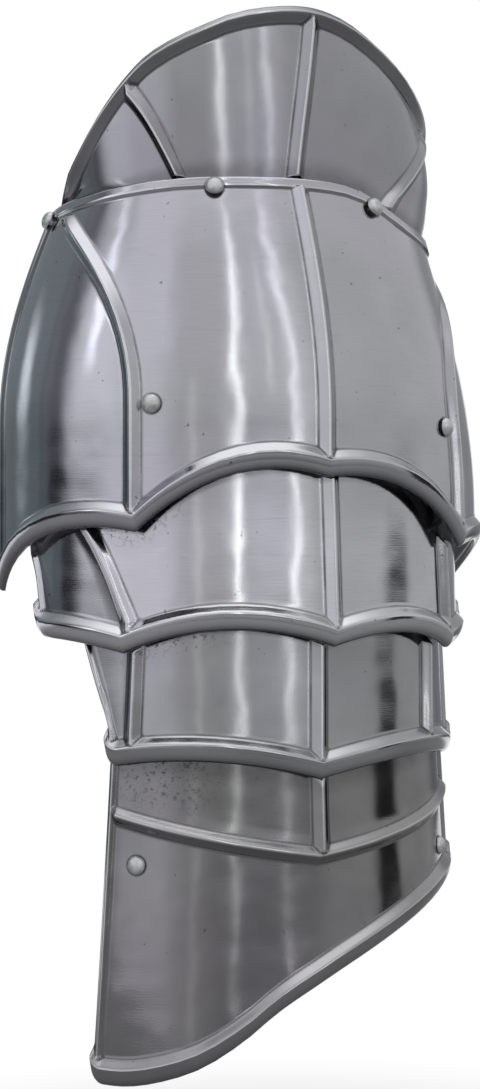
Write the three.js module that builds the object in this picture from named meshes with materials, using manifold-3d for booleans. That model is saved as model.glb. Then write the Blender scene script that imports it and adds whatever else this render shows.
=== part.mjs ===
// Laminar pauldron for a right arm: a fan-shaped neck plate, a domed shoulder plate and three
// narrower plates, embossed with ridges and raised borders and hung on riveted leathers.
// Millimetres. The wearer's front is +X, the outer side of the arm faces -Y and up is +Z.
// Plates are shells over an elliptical section: angle 0 is the outer middle, rear is negative.

import * as THREE from "three";
import { mergeVertices } from "three/addons/utils/BufferGeometryUtils.js";
import Module from "manifold-3d";

const wasm = await Module();
wasm.setup();

const degree = Math.PI / 180;

// Driving dimensions: sheet, leather and fits
const plateThickness = 1.2;
const leatherThickness = 2.2;
const seatGap = 0.3;
const plateFit = 1;
const leatherGap = 1.05;
const overrun = 6;

// Driving dimensions: embossing, each section given by its crest height and facet widths
const ridge = { height: 4.2, halfWidth: 4.8, coveredRun: 0.5, coveredEnd: 5 };
const border = { height: 4, edgeToCrest: 6.6, crestToFoot: 5 };
const rim = { height: 4.2, edgeHeight: 2, edgeToCrest: 2.6, crestToFoot: 5.4 };
const band = { height: 1.2, edgeToCrest: 4, crestToFoot: 1.2 };
const belt = { height: 3.6, crestToFoot: 4.6 };
const roll = { height: 1.8, edgeToCrest: 1.8, crestToFoot: 2.8 };

// Driving dimensions: shoulder plate, heights measured from its widest dome start
const shoulder = {
  rearEdge: -98,
  frontEdge: 98,
  domeStart: 5,
  rearFullDrop: 95,
  frontFullDrop: 135,
  frontDomePower: 1.35,
  rearHalfWidthTop: 81,
  frontHalfWidthTop: 81,
  halfWidth: 107,
  depthTop: 61,
  depth: 90,
  topRise: 6,
  ridgeFoot: 43.6,
  ridgeTurn: 41.4,
  ridgeTurnEndShare: 0.72,
  ridgeTurnPower: 2.3,
  rearRidgeRise: 0.12,
  frontRidgeRise: 0.45,
  centreRidge: 0.8,
  cusps: {
    rear: { angle: -98, drop: 167, rise: 11 },
    rearRidge: { angle: -43, drop: 142, rise: 12 },
    centre: { angle: 1, drop: 119.5, rise: 10 },
    frontRidge: { angle: 45, drop: 148, rise: 11 },
    front: { angle: 98, drop: 168, rise: 0 },
  },
};
// Shape of the top edge: angle, and height as a share of the top rise
const shoulderTopShares = [
  [-98, -0.65],
  [-69, 0.05],
  [-56, 0.43],
  [-36, 0.88],
  [-15, 1.02],
  [0, 1.06],
  [12, 0.97],
  [20, 0.74],
  [28, 0.1],
  [42, -1.25],
  [65, -2.2],
  [98, -2.7],
];

// Driving dimensions: neck plate
const neck = {
  overlap: 10,
  ridgeFade: 1.2,
  rimTop: 81,
  rowGap: 1,
  rimRun: 12,
  rearFlare: 6,
  frontFlare: 12,
  frontBulge: 8.5,
  lean: 14,
  rearRidge: { foot: -34, top: -51 },
  centreRidge: { foot: -1, top: 7 },
  frontRidge: { foot: 29, top: 63 },
  frontRidgeRimShare: 0.5,
};
// Shape of the rim: angle, and height as a share of the rim's top
const neckRimShares = [
  [-98, -0.067],
  [-84, 0.157],
  [-75, 0.262],
  [-65, 0.405],
  [-46, 0.683],
  [-38, 0.77],
  [-26, 0.866],
  [-14, 0.95],
  [4, 1],
  [16, 0.963],
  [31, 0.836],
  [50, 0.646],
  [72, 0.422],
  [98, 0.062],
];

// Driving dimensions: upper, middle and lower plates of the arm. A fit is the room left at the top
// between a plate's ridges and the plate over it, and a growth widens the plate to its bottom.
const upperLame = {
  rearEdgeTop: -85,
  rearEdgeBottom: -78,
  frontEdgeTop: 85,
  frontEdgeBottom: 78,
  topDrop: 120,
  bottomDrop: 200,
  sideFit: 2.1,
  sideGrowth: 1.5,
  frontInset: 3,
  depthFit: 0.6,
  depthGrowth: 2,
  cornerRadius: 7,
  rearRidge: { top: -65.5, bottom: -46.5, bow: 2 },
  centreRidge: { top: 3, bottom: 4 },
  frontRidge: { top: 44, bottom: 46 },
  topCusps: {
    rear: { angle: -85, drop: 136, rise: 0 },
    rearRidge: { angle: -43, drop: 126, rise: 6 },
    centre: { angle: 3, drop: 106, rise: 6 },
    frontRidge: { angle: 45, drop: 128, rise: 0 },
    front: { angle: 85, drop: 138, rise: 0 },
  },
  cusps: {
    rear: { angle: -78, drop: 186, rise: 1.5 },
    rearRidge: { angle: -48, drop: 191.5, rise: 8.5 },
    centre: { angle: 4, drop: 189, rise: 6.5 },
    frontRidge: { angle: 48, drop: 191.5, rise: 1.5 },
    front: { angle: 78, drop: 187, rise: 0 },
  },
};
const middleLame = {
  rearEdgeTop: -67,
  rearEdgeBottom: -54.5,
  frontEdgeTop: 74,
  frontEdgeBottom: 70,
  topDrop: 180,
  bottomDrop: 250,
  sideFit: 1.2,
  sideGrowth: 2.6,
  frontInset: 5,
  depthFit: 1.8,
  depthGrowth: 4.2,
  cornerRadius: 6,
  rearRidge: { top: -46, bottom: -47 },
  centreRidge: { top: 2, bottom: 1 },
  frontRidge: { top: 45, bottom: 42 },
  topCusps: {
    rear: { angle: -67, drop: 174, rise: 0 },
    rearRidge: { angle: -47, drop: 174, rise: 4 },
    centre: { angle: 2, drop: 174, rise: 4 },
    frontRidge: { angle: 46, drop: 174, rise: 0 },
    front: { angle: 74, drop: 174, rise: 0 },
  },
  cusps: {
    rear: { angle: -54.5, drop: 239, rise: 5.5 },
    centre: { angle: 1, drop: 243.5, rise: 5.5 },
    front: { angle: 70, drop: 240, rise: 0 },
  },
};
const lowerPlate = {
  rearEdgeTop: -54.5,
  rearEdgeBottom: -57,
  frontEdgeTop: 72,
  frontEdgeBottom: 72,
  topDrop: 220,
  bottomDrop: 370,
  sideFit: 0.6,
  sideGrowth: 9,
  frontInset: 2.5,
  depthFit: 3.6,
  depthGrowth: 8,
  cornerRadius: 5,
  topCusps: {
    rear: { angle: -56, drop: 236, rise: 0 },
    rearRidge: { angle: -49, drop: 226, rise: 2 },
    centre: { angle: 2, drop: 226, rise: 3 },
    front: { angle: 72, drop: 224, rise: 0 },
  },
  beltCusps: {
    rear: { angle: -56, drop: 257.5, rise: -1 },
    centre: { angle: 2, drop: 275.5, rise: -1.5 },
    front: { angle: 72, drop: 253, rise: 0 },
  },
  centreRidge: 3,
  shortDrop: 293,
  slant: 76,
};
// Shape of the slanting lower edge: angle, and drop below the short side as a share of the slant
const slantShares = [
  [-57, 1],
  [-47, 1],
  [-38, 0.965],
  [-28, 0.89],
  [-18, 0.755],
  [-9, 0.6],
  [2, 0.46],
  [13, 0.345],
  [27, 0.225],
  [42, 0.12],
  [56, 0.045],
  [72, 0],
];

// Driving dimensions: rivets and burrs
const shank = { shankRadius: 1.7, buttonRadius: 2.8, buttonHeight: 1.2 };
const rivet = { ...shank, headRadius: 4, headHeight: 2.8, domeRings: 4 };
const lowRivet = { ...shank, headRadius: 4, headHeight: 1, domeRings: 2 };
const rivetHoleClearance = 0.35;
const rivetSides = 10;
const burr = { radius: 4.5, thickness: 0.9 };
const topRivet = { inset: 4.6, cornerInset: 5, rear: -25, front: 27 };
const shoulderRivet = { rear: -39, rearDrop: 90, front: 39, frontDrop: 97 };
const strapRivet = { rear: -46, front: 56, drop: 279 };
const pivots = {
  upper: { angle: 48, drop: 134 },
  middle: { angle: 46, drop: 183 },
  lower: { angle: 44, drop: 231.5 },
};

// Driving dimensions: leathers
const hangingLeather = { halfWidth: 9, endMargin: 9 };
const neckLeather = {
  barRear: -34,
  barFront: 36,
  barDrop: 15,
  stemHalfWidth: 15,
  stemTop: 62,
  stemBendStart: 4,
  stemBendEnd: 22,
  lacingHoleRadius: 2.6,
  lacingHoleSpacing: 14,
  lacingHoleInset: 9,
};
const armStrap = {
  width: 18,
  thickness: 2.2,
  endTurn: 9,
  edgeTurn: 2,
  holeRadius: 2.2,
  holeSpacing: 11,
  holeSteps: [-2, 2.4],
  slotLength: 13.5,
};
const armLoop = { backY: 45, straightStart: -34, tail: 34 };
const buckle = { barX: 24, length: 20, wireRadius: 1.6, sideGap: 1.3, eyeWall: 1.4 };
const prong = { thickness: 2.4, width: 3, tipOverhang: 2, archShares: { under: 0.6, over: 0.85 } };
const chape = { foldLength: 22, pinch: 10, endTurn: 8, edgeTurn: 6 };
const keeper = { offset: 15, width: 7, wall: 1.6 };

// Materials
function finish(color, roughness, metalness) {
  return new THREE.MeshStandardMaterial({ color, roughness, metalness, flatShading: true });
}
const polishedSteel = () => finish(0x96979c, 0.32, 1);
const rivetSteel = () => finish(0x9d9d9f, 0.55, 1);
const strapLeather = () => finish(0x4a3120, 0.75, 0);
const buckleIron = () => finish(0x77777a, 0.5, 1);

// Small mathematics
const mix = (a, b, share) => a + (b - a) * share;
const clamp01 = (value) => Math.min(1, Math.max(0, value));
const smooth = (share) => {
  const t = clamp01(share);
  return t * t * (3 - 2 * t);
};

// A smooth curve through a table of [position, value]
function readCurve(table, position) {
  let index = 1;
  while (index < table.length - 1 && position > table[index][0]) index += 1;
  const slopeAt = (i) => {
    const before = table[Math.max(0, i - 1)];
    const after = table[Math.min(table.length - 1, i + 1)];
    return (after[1] - before[1]) / (after[0] - before[0]);
  };
  const [startAt, start] = table[index - 1];
  const [endAt, end] = table[index];
  const span = endAt - startAt;
  const t = clamp01((position - startAt) / span);
  const startSlope = slopeAt(index - 1) * span;
  const endSlope = slopeAt(index) * span;
  return (
    start * (2 * t ** 3 - 3 * t ** 2 + 1) +
    startSlope * (t ** 3 - 2 * t ** 2 + t) +
    end * (3 * t ** 2 - 2 * t ** 3) +
    endSlope * (t ** 3 - t ** 2)
  );
}

// A hump from 0 to 1 and back over a share of 0 to 1
const arch = (share) => 4 * clamp01(share) * (1 - clamp01(share));

// The line of a scalloped edge: cusps from rear to front joined by shallow arcs over their chords
function scallop(cusps) {
  const places = Object.values(cusps);
  return (angle) => {
    let index = 1;
    while (index < places.length - 1 && angle > places[index].angle) index += 1;
    const start = places[index - 1];
    const end = places[index];
    const t = (angle - start.angle) / (end.angle - start.angle);
    return -mix(start.drop, end.drop, t) + start.rise * arch(t);
  };
}

// Edges that the sections depend on
const shoulderTopEdge = (angle) => readCurve(shoulderTopShares, angle) * shoulder.topRise;
const shoulderBottomEdge = scallop(shoulder.cusps);
const neckRimEdge = (angle) => readCurve(neckRimShares, angle) * neck.rimTop;

// Sections of the plates: half width and depth of the ellipse at a height, and its lean
function shoulderSection(height, angle) {
  const rear = angle < 0;
  const widthTop = rear ? shoulder.rearHalfWidthTop : shoulder.frontHalfWidthTop;
  const fullDrop = rear ? shoulder.rearFullDrop : shoulder.frontFullDrop;
  const domed = (drop) => {
    const t = clamp01((shoulder.domeStart - height) / (shoulder.domeStart + drop));
    return Math.sin((t * Math.PI) / 2);
  };
  const widening = domed(fullDrop) ** (rear ? 1 : shoulder.frontDomePower);
  return {
    halfWidth: mix(widthTop, shoulder.halfWidth, widening),
    depth: mix(shoulder.depthTop, shoulder.depth, domed(shoulder.rearFullDrop)),
    lean: 0,
  };
}

function insetSection(section, inset) {
  return { halfWidth: section.halfWidth - inset, depth: section.depth - inset, lean: section.lean };
}

function neckSection(height, angle) {
  const seatHeight = Math.min(height, shoulder.domeStart);
  const seat = insetSection(shoulderSection(seatHeight, angle), plateThickness + plateFit);
  const share = (height - seatHeight) / (neck.rimTop - shoulder.domeStart);
  const flare = angle < 0 ? neck.rearFlare : neck.frontFlare;
  const seam = shoulderTopEdge(angle);
  const free = clamp01((height - seam) / (neckRimEdge(angle) - seam));
  const bulge = angle < 0 ? 0 : neck.frontBulge * Math.sin(free * Math.PI);
  return {
    halfWidth: seat.halfWidth + flare * share + bulge,
    depth: seat.depth + neck.rearFlare * share,
    lean: neck.lean * share,
  };
}

// A lame with the half width and depth that nest it inside the plate above
function nestedIn(above, lame) {
  const ridgeRoom = plateThickness + ridge.height;
  const halfWidthTop = above.halfWidth - ridgeRoom - lame.sideFit;
  const depthTop = above.depth - ridgeRoom - lame.depthFit;
  return {
    ...lame,
    halfWidthTop,
    depthTop,
    halfWidth: halfWidthTop + lame.sideGrowth,
    depth: depthTop + lame.depthGrowth,
  };
}
const upperPlate = nestedIn(shoulder, upperLame);
const middlePlate = nestedIn(upperPlate, middleLame);
const bottomPlate = nestedIn(middlePlate, lowerPlate);

function lameSection(plate) {
  return (height, angle) => {
    const share = (-height - plate.topDrop) / (plate.bottomDrop - plate.topDrop);
    const frontInset = angle > 0 ? plate.frontInset : 0;
    return {
      halfWidth: mix(plate.halfWidthTop, plate.halfWidth, share) - frontInset,
      depth: mix(plate.depthTop, plate.depth, share),
      lean: 0,
    };
  };
}

function sectionPoint(sectionAt, angle, height) {
  const { halfWidth, depth, lean } = sectionAt(height, angle);
  const turn = angle * degree;
  return new THREE.Vector3(halfWidth * Math.sin(turn), lean - depth * Math.cos(turn), height);
}

function sectionNormal(sectionAt, angle, height) {
  const angleStep = 0.05;
  const heightStep = plateThickness / 20;
  const along = sectionPoint(sectionAt, angle + angleStep, height)
    .sub(sectionPoint(sectionAt, angle - angleStep, height));
  const up = sectionPoint(sectionAt, angle, height + heightStep)
    .sub(sectionPoint(sectionAt, angle, height - heightStep));
  return along.cross(up).normalize();
}

// Millimetres of surface for one degree of angle
function surfacePerDegree(sectionAt, angle, height) {
  const { halfWidth, depth } = sectionAt(height, angle);
  const turn = angle * degree;
  return Math.hypot(halfWidth * Math.cos(turn), depth * Math.sin(turn)) * degree;
}

// Distance along the surface to the nearer side edge
function sideGap(sectionAt, rear, front, angle, height) {
  return Math.min(angle - rear, front - angle) * surfacePerDegree(sectionAt, angle, height);
}

// Rows and columns of a plate. A row is a line round the plate, a column a line down it.
// Both are filled with plain ones between the lines that the embossing needs.
// A row may stop the ridges, or all raised columns, so that its own height holds there.
function fillRows(lines) {
  const rows = [lines[0]];
  for (let i = 1; i < lines.length; i += 1) {
    const above = lines[i - 1];
    const below = lines[i];
    const count = below.fill ?? 0;
    for (let k = 1; k <= count; k += 1) {
      const t = k / (count + 1);
      rows.push({
        heightAt: (angle) => mix(above.heightAt(angle), below.heightAt(angle), t),
        share: mix(above.share, below.share, t),
        raised: 0,
      });
    }
    rows.push(below);
  }
  return rows;
}

function fillColumns(knots) {
  const columns = [knots[0]];
  for (let i = 1; i < knots.length; i += 1) {
    const left = knots[i - 1];
    const right = knots[i];
    const count = right.fill ?? 0;
    for (let k = 1; k <= count; k += 1) {
      const t = k / (count + 1);
      columns.push({
        angleAt: (share) => mix(left.angleAt(share), right.angleAt(share), t),
        raisedAt: () => 0,
      });
    }
    columns.push(right);
  }
  return columns;
}

// A closed shell: the raised outer grid, the same grid one thickness further in, and its rim
function shellGeometry({ sectionAt, rows, columns, thickness }) {
  const positions = [];
  for (const depth of [0, thickness]) {
    for (const row of rows) {
      for (const column of columns) {
        const angle = column.angleAt(row.share);
        const height = row.heightAt(angle);
        const rowRaised = typeof row.raised === "function" ? row.raised(angle) : row.raised;
        const stopped = row.stops === "all" || (row.stops === "ridges" && column.isRidge);
        const raised = Math.max(rowRaised, stopped ? 0 : column.raisedAt(row.share));
        const point = sectionPoint(sectionAt, angle, height);
        point.addScaledVector(sectionNormal(sectionAt, angle, height), raised - depth);
        positions.push(point.x, point.y, point.z);
      }
    }
  }
  const width = columns.length;
  const layer = rows.length * width;
  const triangles = [];
  const quad = (a, b, c, d) => triangles.push(a, b, c, a, c, d);
  for (let r = 0; r + 1 < rows.length; r += 1) {
    for (let c = 0; c + 1 < width; c += 1) {
      const a = r * width + c;
      quad(a, a + width, a + width + 1, a + 1);
      quad(layer + a, layer + a + 1, layer + a + width + 1, layer + a + width);
    }
    const left = r * width;
    const right = left + width - 1;
    quad(left, layer + left, layer + left + width, left + width);
    quad(right, right + width, layer + right + width, layer + right);
  }
  for (let c = 0; c + 1 < width; c += 1) {
    const top = c;
    const bottom = layer - width + c;
    quad(top, top + 1, layer + top + 1, layer + top);
    quad(bottom, layer + bottom, layer + bottom + 1, bottom + 1);
  }
  const geometry = new THREE.BufferGeometry();
  geometry.setAttribute("position", new THREE.Float32BufferAttribute(positions, 3));
  geometry.setIndex(triangles);
  return geometry;
}

// A fixed column and a rolled vertical edge, one side of a plate
const plainColumn = (angleAt, fill) => ({ angleAt, raisedAt: () => 0, fill });

function rolledEdge(sectionAt, edgeAt, inward, middleHeight) {
  const offsetAngle = (distance) => (share) => {
    const edge = edgeAt(share);
    return edge + (inward * distance) / surfacePerDegree(sectionAt, edge, middleHeight);
  };
  return [
    plainColumn(edgeAt),
    { angleAt: offsetAngle(roll.edgeToCrest), raisedAt: () => roll.height },
    plainColumn(offsetAngle(roll.edgeToCrest + roll.crestToFoot)),
  ];
}

// Foot, crest and foot of an embossed ridge that follows pathAt down the plate
function ridgeColumns(sectionAt, pathAt, heightAt, strengthAt, fillBefore) {
  const shareStep = 0.01;
  const halfAngleAt = (share) => {
    const angle = pathAt(share);
    const height = heightAt(angle, share);
    const perDegree = surfacePerDegree(sectionAt, angle, height);
    const across = (pathAt(share + shareStep) - pathAt(share - shareStep)) * perDegree;
    const down = heightAt(angle, share + shareStep) - heightAt(angle, share - shareStep);
    const slantFactor = Math.hypot(across, down) / Math.abs(down);
    return (ridge.halfWidth * slantFactor) / perDegree;
  };
  return [
    plainColumn((share) => pathAt(share) - halfAngleAt(share), fillBefore),
    { angleAt: pathAt, raisedAt: (share) => ridge.height * strengthAt(share), isRidge: true },
    plainColumn((share) => pathAt(share) + halfAngleAt(share)),
  ];
}

// The lower border shared by the plates: foot, crest and edge lines
function borderLines(edgeAt, fill) {
  return [
    {
      heightAt: (angle) => edgeAt(angle) + border.edgeToCrest + border.crestToFoot,
      share: 1,
      raised: 0,
      fill,
    },
    {
      heightAt: (angle) => edgeAt(angle) + border.edgeToCrest,
      share: 1,
      raised: border.height,
      stops: "ridges",
    },
    { heightAt: edgeAt, share: 1, raised: 0, stops: "all" },
  ];
}

// How far a rounded corner lifts the edge at a distance from the side
function cornerLift(distance, radius) {
  const reach = clamp01(1 - distance / radius);
  return radius * (1 - Math.sqrt(1 - reach * reach));
}

// Shoulder plate

const shoulderHeightAt = (angle, share) => mix(shoulderTopEdge(angle), shoulderBottomEdge(angle), share);

function shoulderRows() {
  const seamShare = 0.045;
  const footOffset = band.edgeToCrest + band.crestToFoot;
  const onBand = { share: 0, raised: band.height, stops: "ridges" };
  return fillRows([
    { ...onBand, heightAt: shoulderTopEdge },
    { ...onBand, heightAt: (angle) => shoulderTopEdge(angle) - band.edgeToCrest },
    { heightAt: (angle) => shoulderTopEdge(angle) - footOffset, share: 0, raised: 0 },
    { heightAt: (angle) => shoulderHeightAt(angle, seamShare), share: seamShare, raised: 0 },
    ...borderLines(shoulderBottomEdge, 8),
  ]);
}

function shoulderRidgePath(side) {
  return (share) => {
    const left = clamp01(1 - share / shoulder.ridgeTurnEndShare);
    return side * (shoulder.ridgeFoot + shoulder.ridgeTurn * left ** shoulder.ridgeTurnPower);
  };
}

function shoulderPlateGeometry() {
  const sectionAt = shoulderSection;
  const heightAt = shoulderHeightAt;
  const middle = -shoulder.rearFullDrop / 2;
  const rises = (length) => (share) => smooth(share / length);
  const columns = fillColumns([
    ...rolledEdge(sectionAt, () => shoulder.rearEdge, 1, middle),
    ...ridgeColumns(sectionAt, shoulderRidgePath(-1), heightAt, rises(shoulder.rearRidgeRise), 3),
    ...ridgeColumns(sectionAt, () => shoulder.centreRidge, heightAt, () => 1, 6),
    ...ridgeColumns(sectionAt, shoulderRidgePath(1), heightAt, rises(shoulder.frontRidgeRise), 6),
    ...rolledEdge(sectionAt, () => shoulder.frontEdge, -1, middle)
      .reverse()
      .map((column, index) => (index === 0 ? { ...column, fill: 3 } : column)),
  ]);
  return shellGeometry({ sectionAt, rows: shoulderRows(), columns, thickness: plateThickness });
}

// Neck plate
const neckRimFoot = (angle) => neckRimEdge(angle) - rim.edgeToCrest - rim.crestToFoot;
const neckFadeLine = (angle) =>
  Math.min(shoulderTopEdge(angle) + neck.ridgeFade, neckRimFoot(angle) - neck.rowGap);
const neckSeatLine = (angle) => Math.min(shoulderTopEdge(angle), neckFadeLine(angle) - neck.rowGap);
const neckBottomEdge = (angle) =>
  Math.min(shoulderTopEdge(angle) - neck.overlap, neckSeatLine(angle) - neck.rowGap * 2);

// The rim lies flat where it runs in behind the shoulder plate's corners
const rimStrength = (angle) => smooth((neckRimEdge(angle) - shoulderTopEdge(angle)) / neck.rimRun);

function neckPlateGeometry() {
  const fadeShare = 0.81;
  const edgeShare = 0.85;
  const rimLine = (offset, height) => ({
    heightAt: (angle) => neckRimEdge(angle) - offset,
    share: 0,
    raised: (angle) => height * rimStrength(angle),
    stops: "ridges",
  });
  const rows = fillRows([
    rimLine(0, rim.edgeHeight),
    rimLine(rim.edgeToCrest, rim.height),
    { heightAt: neckRimFoot, share: 0, raised: 0 },
    { heightAt: neckFadeLine, share: fadeShare, raised: 0, fill: 4 },
    { heightAt: neckSeatLine, share: edgeShare, raised: 0 },
    { heightAt: neckBottomEdge, share: 1, raised: 0 },
  ]);
  const heightAt = (angle, share) => mix(neckRimEdge(angle), neckBottomEdge(angle), share);
  const fades = (share) => clamp01((edgeShare - share) / (edgeShare - fadeShare));
  const frontFades = (share) =>
    fades(share) * mix(neck.frontRidgeRimShare, 1, clamp01(share / fadeShare));
  const path = (line) => (share) => mix(line.top, line.foot, share);
  const columns = fillColumns([
    plainColumn(() => shoulder.rearEdge),
    ...ridgeColumns(neckSection, path(neck.rearRidge), heightAt, fades, 5),
    ...ridgeColumns(neckSection, path(neck.centreRidge), heightAt, fades, 3),
    ...ridgeColumns(neckSection, path(neck.frontRidge), heightAt, frontFades, 3),
    plainColumn(() => shoulder.frontEdge, 5),
  ]);
  return shellGeometry({ sectionAt: neckSection, rows, columns, thickness: plateThickness });
}

// Upper and middle lames
function lameEdges(lame) {
  const sectionAt = lameSection(lame);
  const rearAt = (share) => mix(lame.rearEdgeTop, lame.rearEdgeBottom, share);
  const frontAt = (share) => mix(lame.frontEdgeTop, lame.frontEdgeBottom, share);
  const cuspLine = scallop(lame.cusps);
  const bottomAt = (angle) => {
    const edge = cuspLine(angle);
    const gap = sideGap(sectionAt, lame.rearEdgeBottom, lame.frontEdgeBottom, angle, edge);
    return edge + cornerLift(gap, lame.cornerRadius);
  };
  return { sectionAt, rearAt, frontAt, bottomAt, topAt: scallop(lame.topCusps) };
}

// Two lines that follow the edge of the plate above, between which covered ridges die away
const coverShares = { end: 0.2, full: 0.28 };
const ridgeGrowth = (share) =>
  clamp01((share - coverShares.end) / (coverShares.full - coverShares.end));

function coverLines(coverAt) {
  return [
    { heightAt: (angle) => coverAt(angle) + ridge.coveredEnd, share: coverShares.end, raised: 0 },
    { heightAt: (angle) => coverAt(angle) + ridge.coveredRun, share: coverShares.full, raised: 0 },
  ];
}

function lameGeometry(lame, coverAt, rowFill, columnFill) {
  const { sectionAt, rearAt, frontAt, bottomAt, topAt } = lameEdges(lame);
  const heightAt = (angle, share) => mix(topAt(angle), bottomAt(angle), share);
  const middle = -(lame.topDrop + lame.bottomDrop) / 2;
  const rows = fillRows([
    { heightAt: topAt, share: 0, raised: 0 },
    ...coverLines(coverAt),
    ...borderLines(bottomAt, rowFill),
  ]);
  const path = (line) => (share) =>
    mix(line.top, line.bottom, share) + (line.bow ?? 0) * arch(share);
  const columns = fillColumns([
    ...rolledEdge(sectionAt, rearAt, 1, middle),
    ...ridgeColumns(sectionAt, path(lame.rearRidge), heightAt, ridgeGrowth, columnFill.rear),
    ...ridgeColumns(sectionAt, path(lame.centreRidge), heightAt, ridgeGrowth, columnFill.middle),
    ...ridgeColumns(sectionAt, path(lame.frontRidge), heightAt, ridgeGrowth, columnFill.middle),
    ...rolledEdge(sectionAt, frontAt, -1, middle)
      .reverse()
      .map((column, index) => (index === 0 ? { ...column, fill: columnFill.front } : column)),
  ]);
  return shellGeometry({ sectionAt, rows, columns, thickness: plateThickness });
}

const upperBottomEdge = lameEdges(upperPlate).bottomAt;
const middleBottomEdge = lameEdges(middlePlate).bottomAt;

// Lower plate, with its raised belt and slanting lower border
const lowerSection = lameSection(bottomPlate);
const lowerTopEdge = scallop(lowerPlate.topCusps);
const lowerBelt = scallop(lowerPlate.beltCusps);
const lowerRearAt = (share) => mix(lowerPlate.rearEdgeTop, lowerPlate.rearEdgeBottom, share);
const lowerFrontAt = (share) => mix(lowerPlate.frontEdgeTop, lowerPlate.frontEdgeBottom, share);
const lowerBottomEdge = (angle) => {
  const edge = -lowerPlate.shortDrop - lowerPlate.slant * readCurve(slantShares, angle);
  const gap = sideGap(lowerSection, lowerRearAt(1), lowerFrontAt(1), angle, edge);
  return edge + cornerLift(gap, lowerPlate.cornerRadius);
};

// Where the belt's upper foot, crest and lower foot cross the plate's columns
const beltShares = { top: 0.38, crest: 0.4, bottom: 0.42 };

// The belt, which ends at the rolled side edges
function beltLines() {
  const raised = (angle) => {
    const { crest } = beltShares;
    const gap = sideGap(lowerSection, lowerRearAt(crest), lowerFrontAt(crest), angle, lowerBelt(angle));
    return belt.height * clamp01((gap - roll.edgeToCrest) / roll.crestToFoot);
  };
  const foot = (side) => (angle) => lowerBelt(angle) + side * belt.crestToFoot;
  return [
    { heightAt: foot(1), share: beltShares.top, raised: 0, fill: 1 },
    { heightAt: lowerBelt, share: beltShares.crest, raised, stops: "ridges" },
    { heightAt: foot(-1), share: beltShares.bottom, raised: 0 },
  ];
}

function lowerPlateGeometry() {
  const middle = -(lowerPlate.topDrop + lowerPlate.bottomDrop) / 2;
  const rows = fillRows([
    { heightAt: lowerTopEdge, share: 0, raised: 0 },
    ...coverLines(middleBottomEdge),
    ...beltLines(),
    ...borderLines(lowerBottomEdge, 4),
  ]);
  const heightAt = (angle, share) => mix(lowerTopEdge(angle), lowerBottomEdge(angle), share);
  const aboveBelt = (share) => (share < beltShares.bottom ? ridgeGrowth(share) : 0);
  const columns = fillColumns([
    ...rolledEdge(lowerSection, lowerRearAt, 1, middle),
    ...ridgeColumns(lowerSection, () => lowerPlate.centreRidge, heightAt, aboveBelt, 6),
    ...rolledEdge(lowerSection, lowerFrontAt, -1, middle)
      .reverse()
      .map((column, index) => (index === 0 ? { ...column, fill: 7 } : column)),
  ]);
  return shellGeometry({ sectionAt: lowerSection, rows, columns, thickness: plateThickness });
}

// Solids for cutting and joining
function toSolid(geometry) {
  const bare = new THREE.BufferGeometry();
  bare.setAttribute("position", geometry.getAttribute("position").clone());
  if (geometry.index) bare.setIndex(geometry.index.clone());
  const merged = mergeVertices(bare, plateThickness / 1000);
  return new wasm.Manifold(
    new wasm.Mesh({
      numProp: 3,
      vertProperties: new Float32Array(merged.getAttribute("position").array),
      triVerts: new Uint32Array(merged.index.array),
    }),
  );
}

function fromSolid(solid) {
  const mesh = solid.getMesh();
  const geometry = new THREE.BufferGeometry();
  geometry.setAttribute("position", new THREE.BufferAttribute(mesh.vertProperties, 3));
  geometry.setIndex(new THREE.BufferAttribute(mesh.triVerts, 1));
  return geometry;
}

function cutAll(geometry, cutters) {
  return fromSolid(cutters.reduce((solid, cutter) => solid.subtract(toSolid(cutter)), toSolid(geometry)));
}

// Distance along a ray from a far point to the first surface hit near a rivet, over its whole head
function reachAlong(geometry, centre, outward, radius) {
  const mesh = new THREE.Mesh(geometry, new THREE.MeshBasicMaterial({ side: THREE.DoubleSide }));
  const aside = new THREE.Vector3(0, 0, 1).cross(outward).normalize();
  const upward = outward.clone().cross(aside);
  const start = overrun * 3;
  const rings = 3;
  const spokes = rivetSides * 2;
  let highest = -Infinity;
  for (let k = 0; k <= rings * spokes; k += 1) {
    const turn = (k / spokes) * 2 * Math.PI;
    const reach = (radius * Math.ceil(k / spokes)) / rings;
    const origin = centre.clone()
      .addScaledVector(aside, reach * Math.cos(turn))
      .addScaledVector(upward, reach * Math.sin(turn))
      .addScaledVector(outward, start);
    const hit = new THREE.Raycaster(origin, outward.clone().negate()).intersectObject(mesh)[0];
    if (hit) highest = Math.max(highest, start - hit.distance);
  }
  return highest;
}

// A rivet through a stack of sheets: its seat outside the first, its burr inside the last
function rivetStack(shape, sectionAt, angle, height, outerSheet, innerSheet) {
  const centre = sectionPoint(sectionAt, angle, height);
  const outward = sectionNormal(sectionAt, angle, height);
  const inward = outward.clone().negate();
  const headSeat = reachAlong(outerSheet, centre, outward, shape.headRadius) + seatGap;
  const burrSeat = reachAlong(innerSheet, centre, inward, burr.radius) + seatGap;
  return { shape, centre, outward, headSeat, burrSeat };
}

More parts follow.
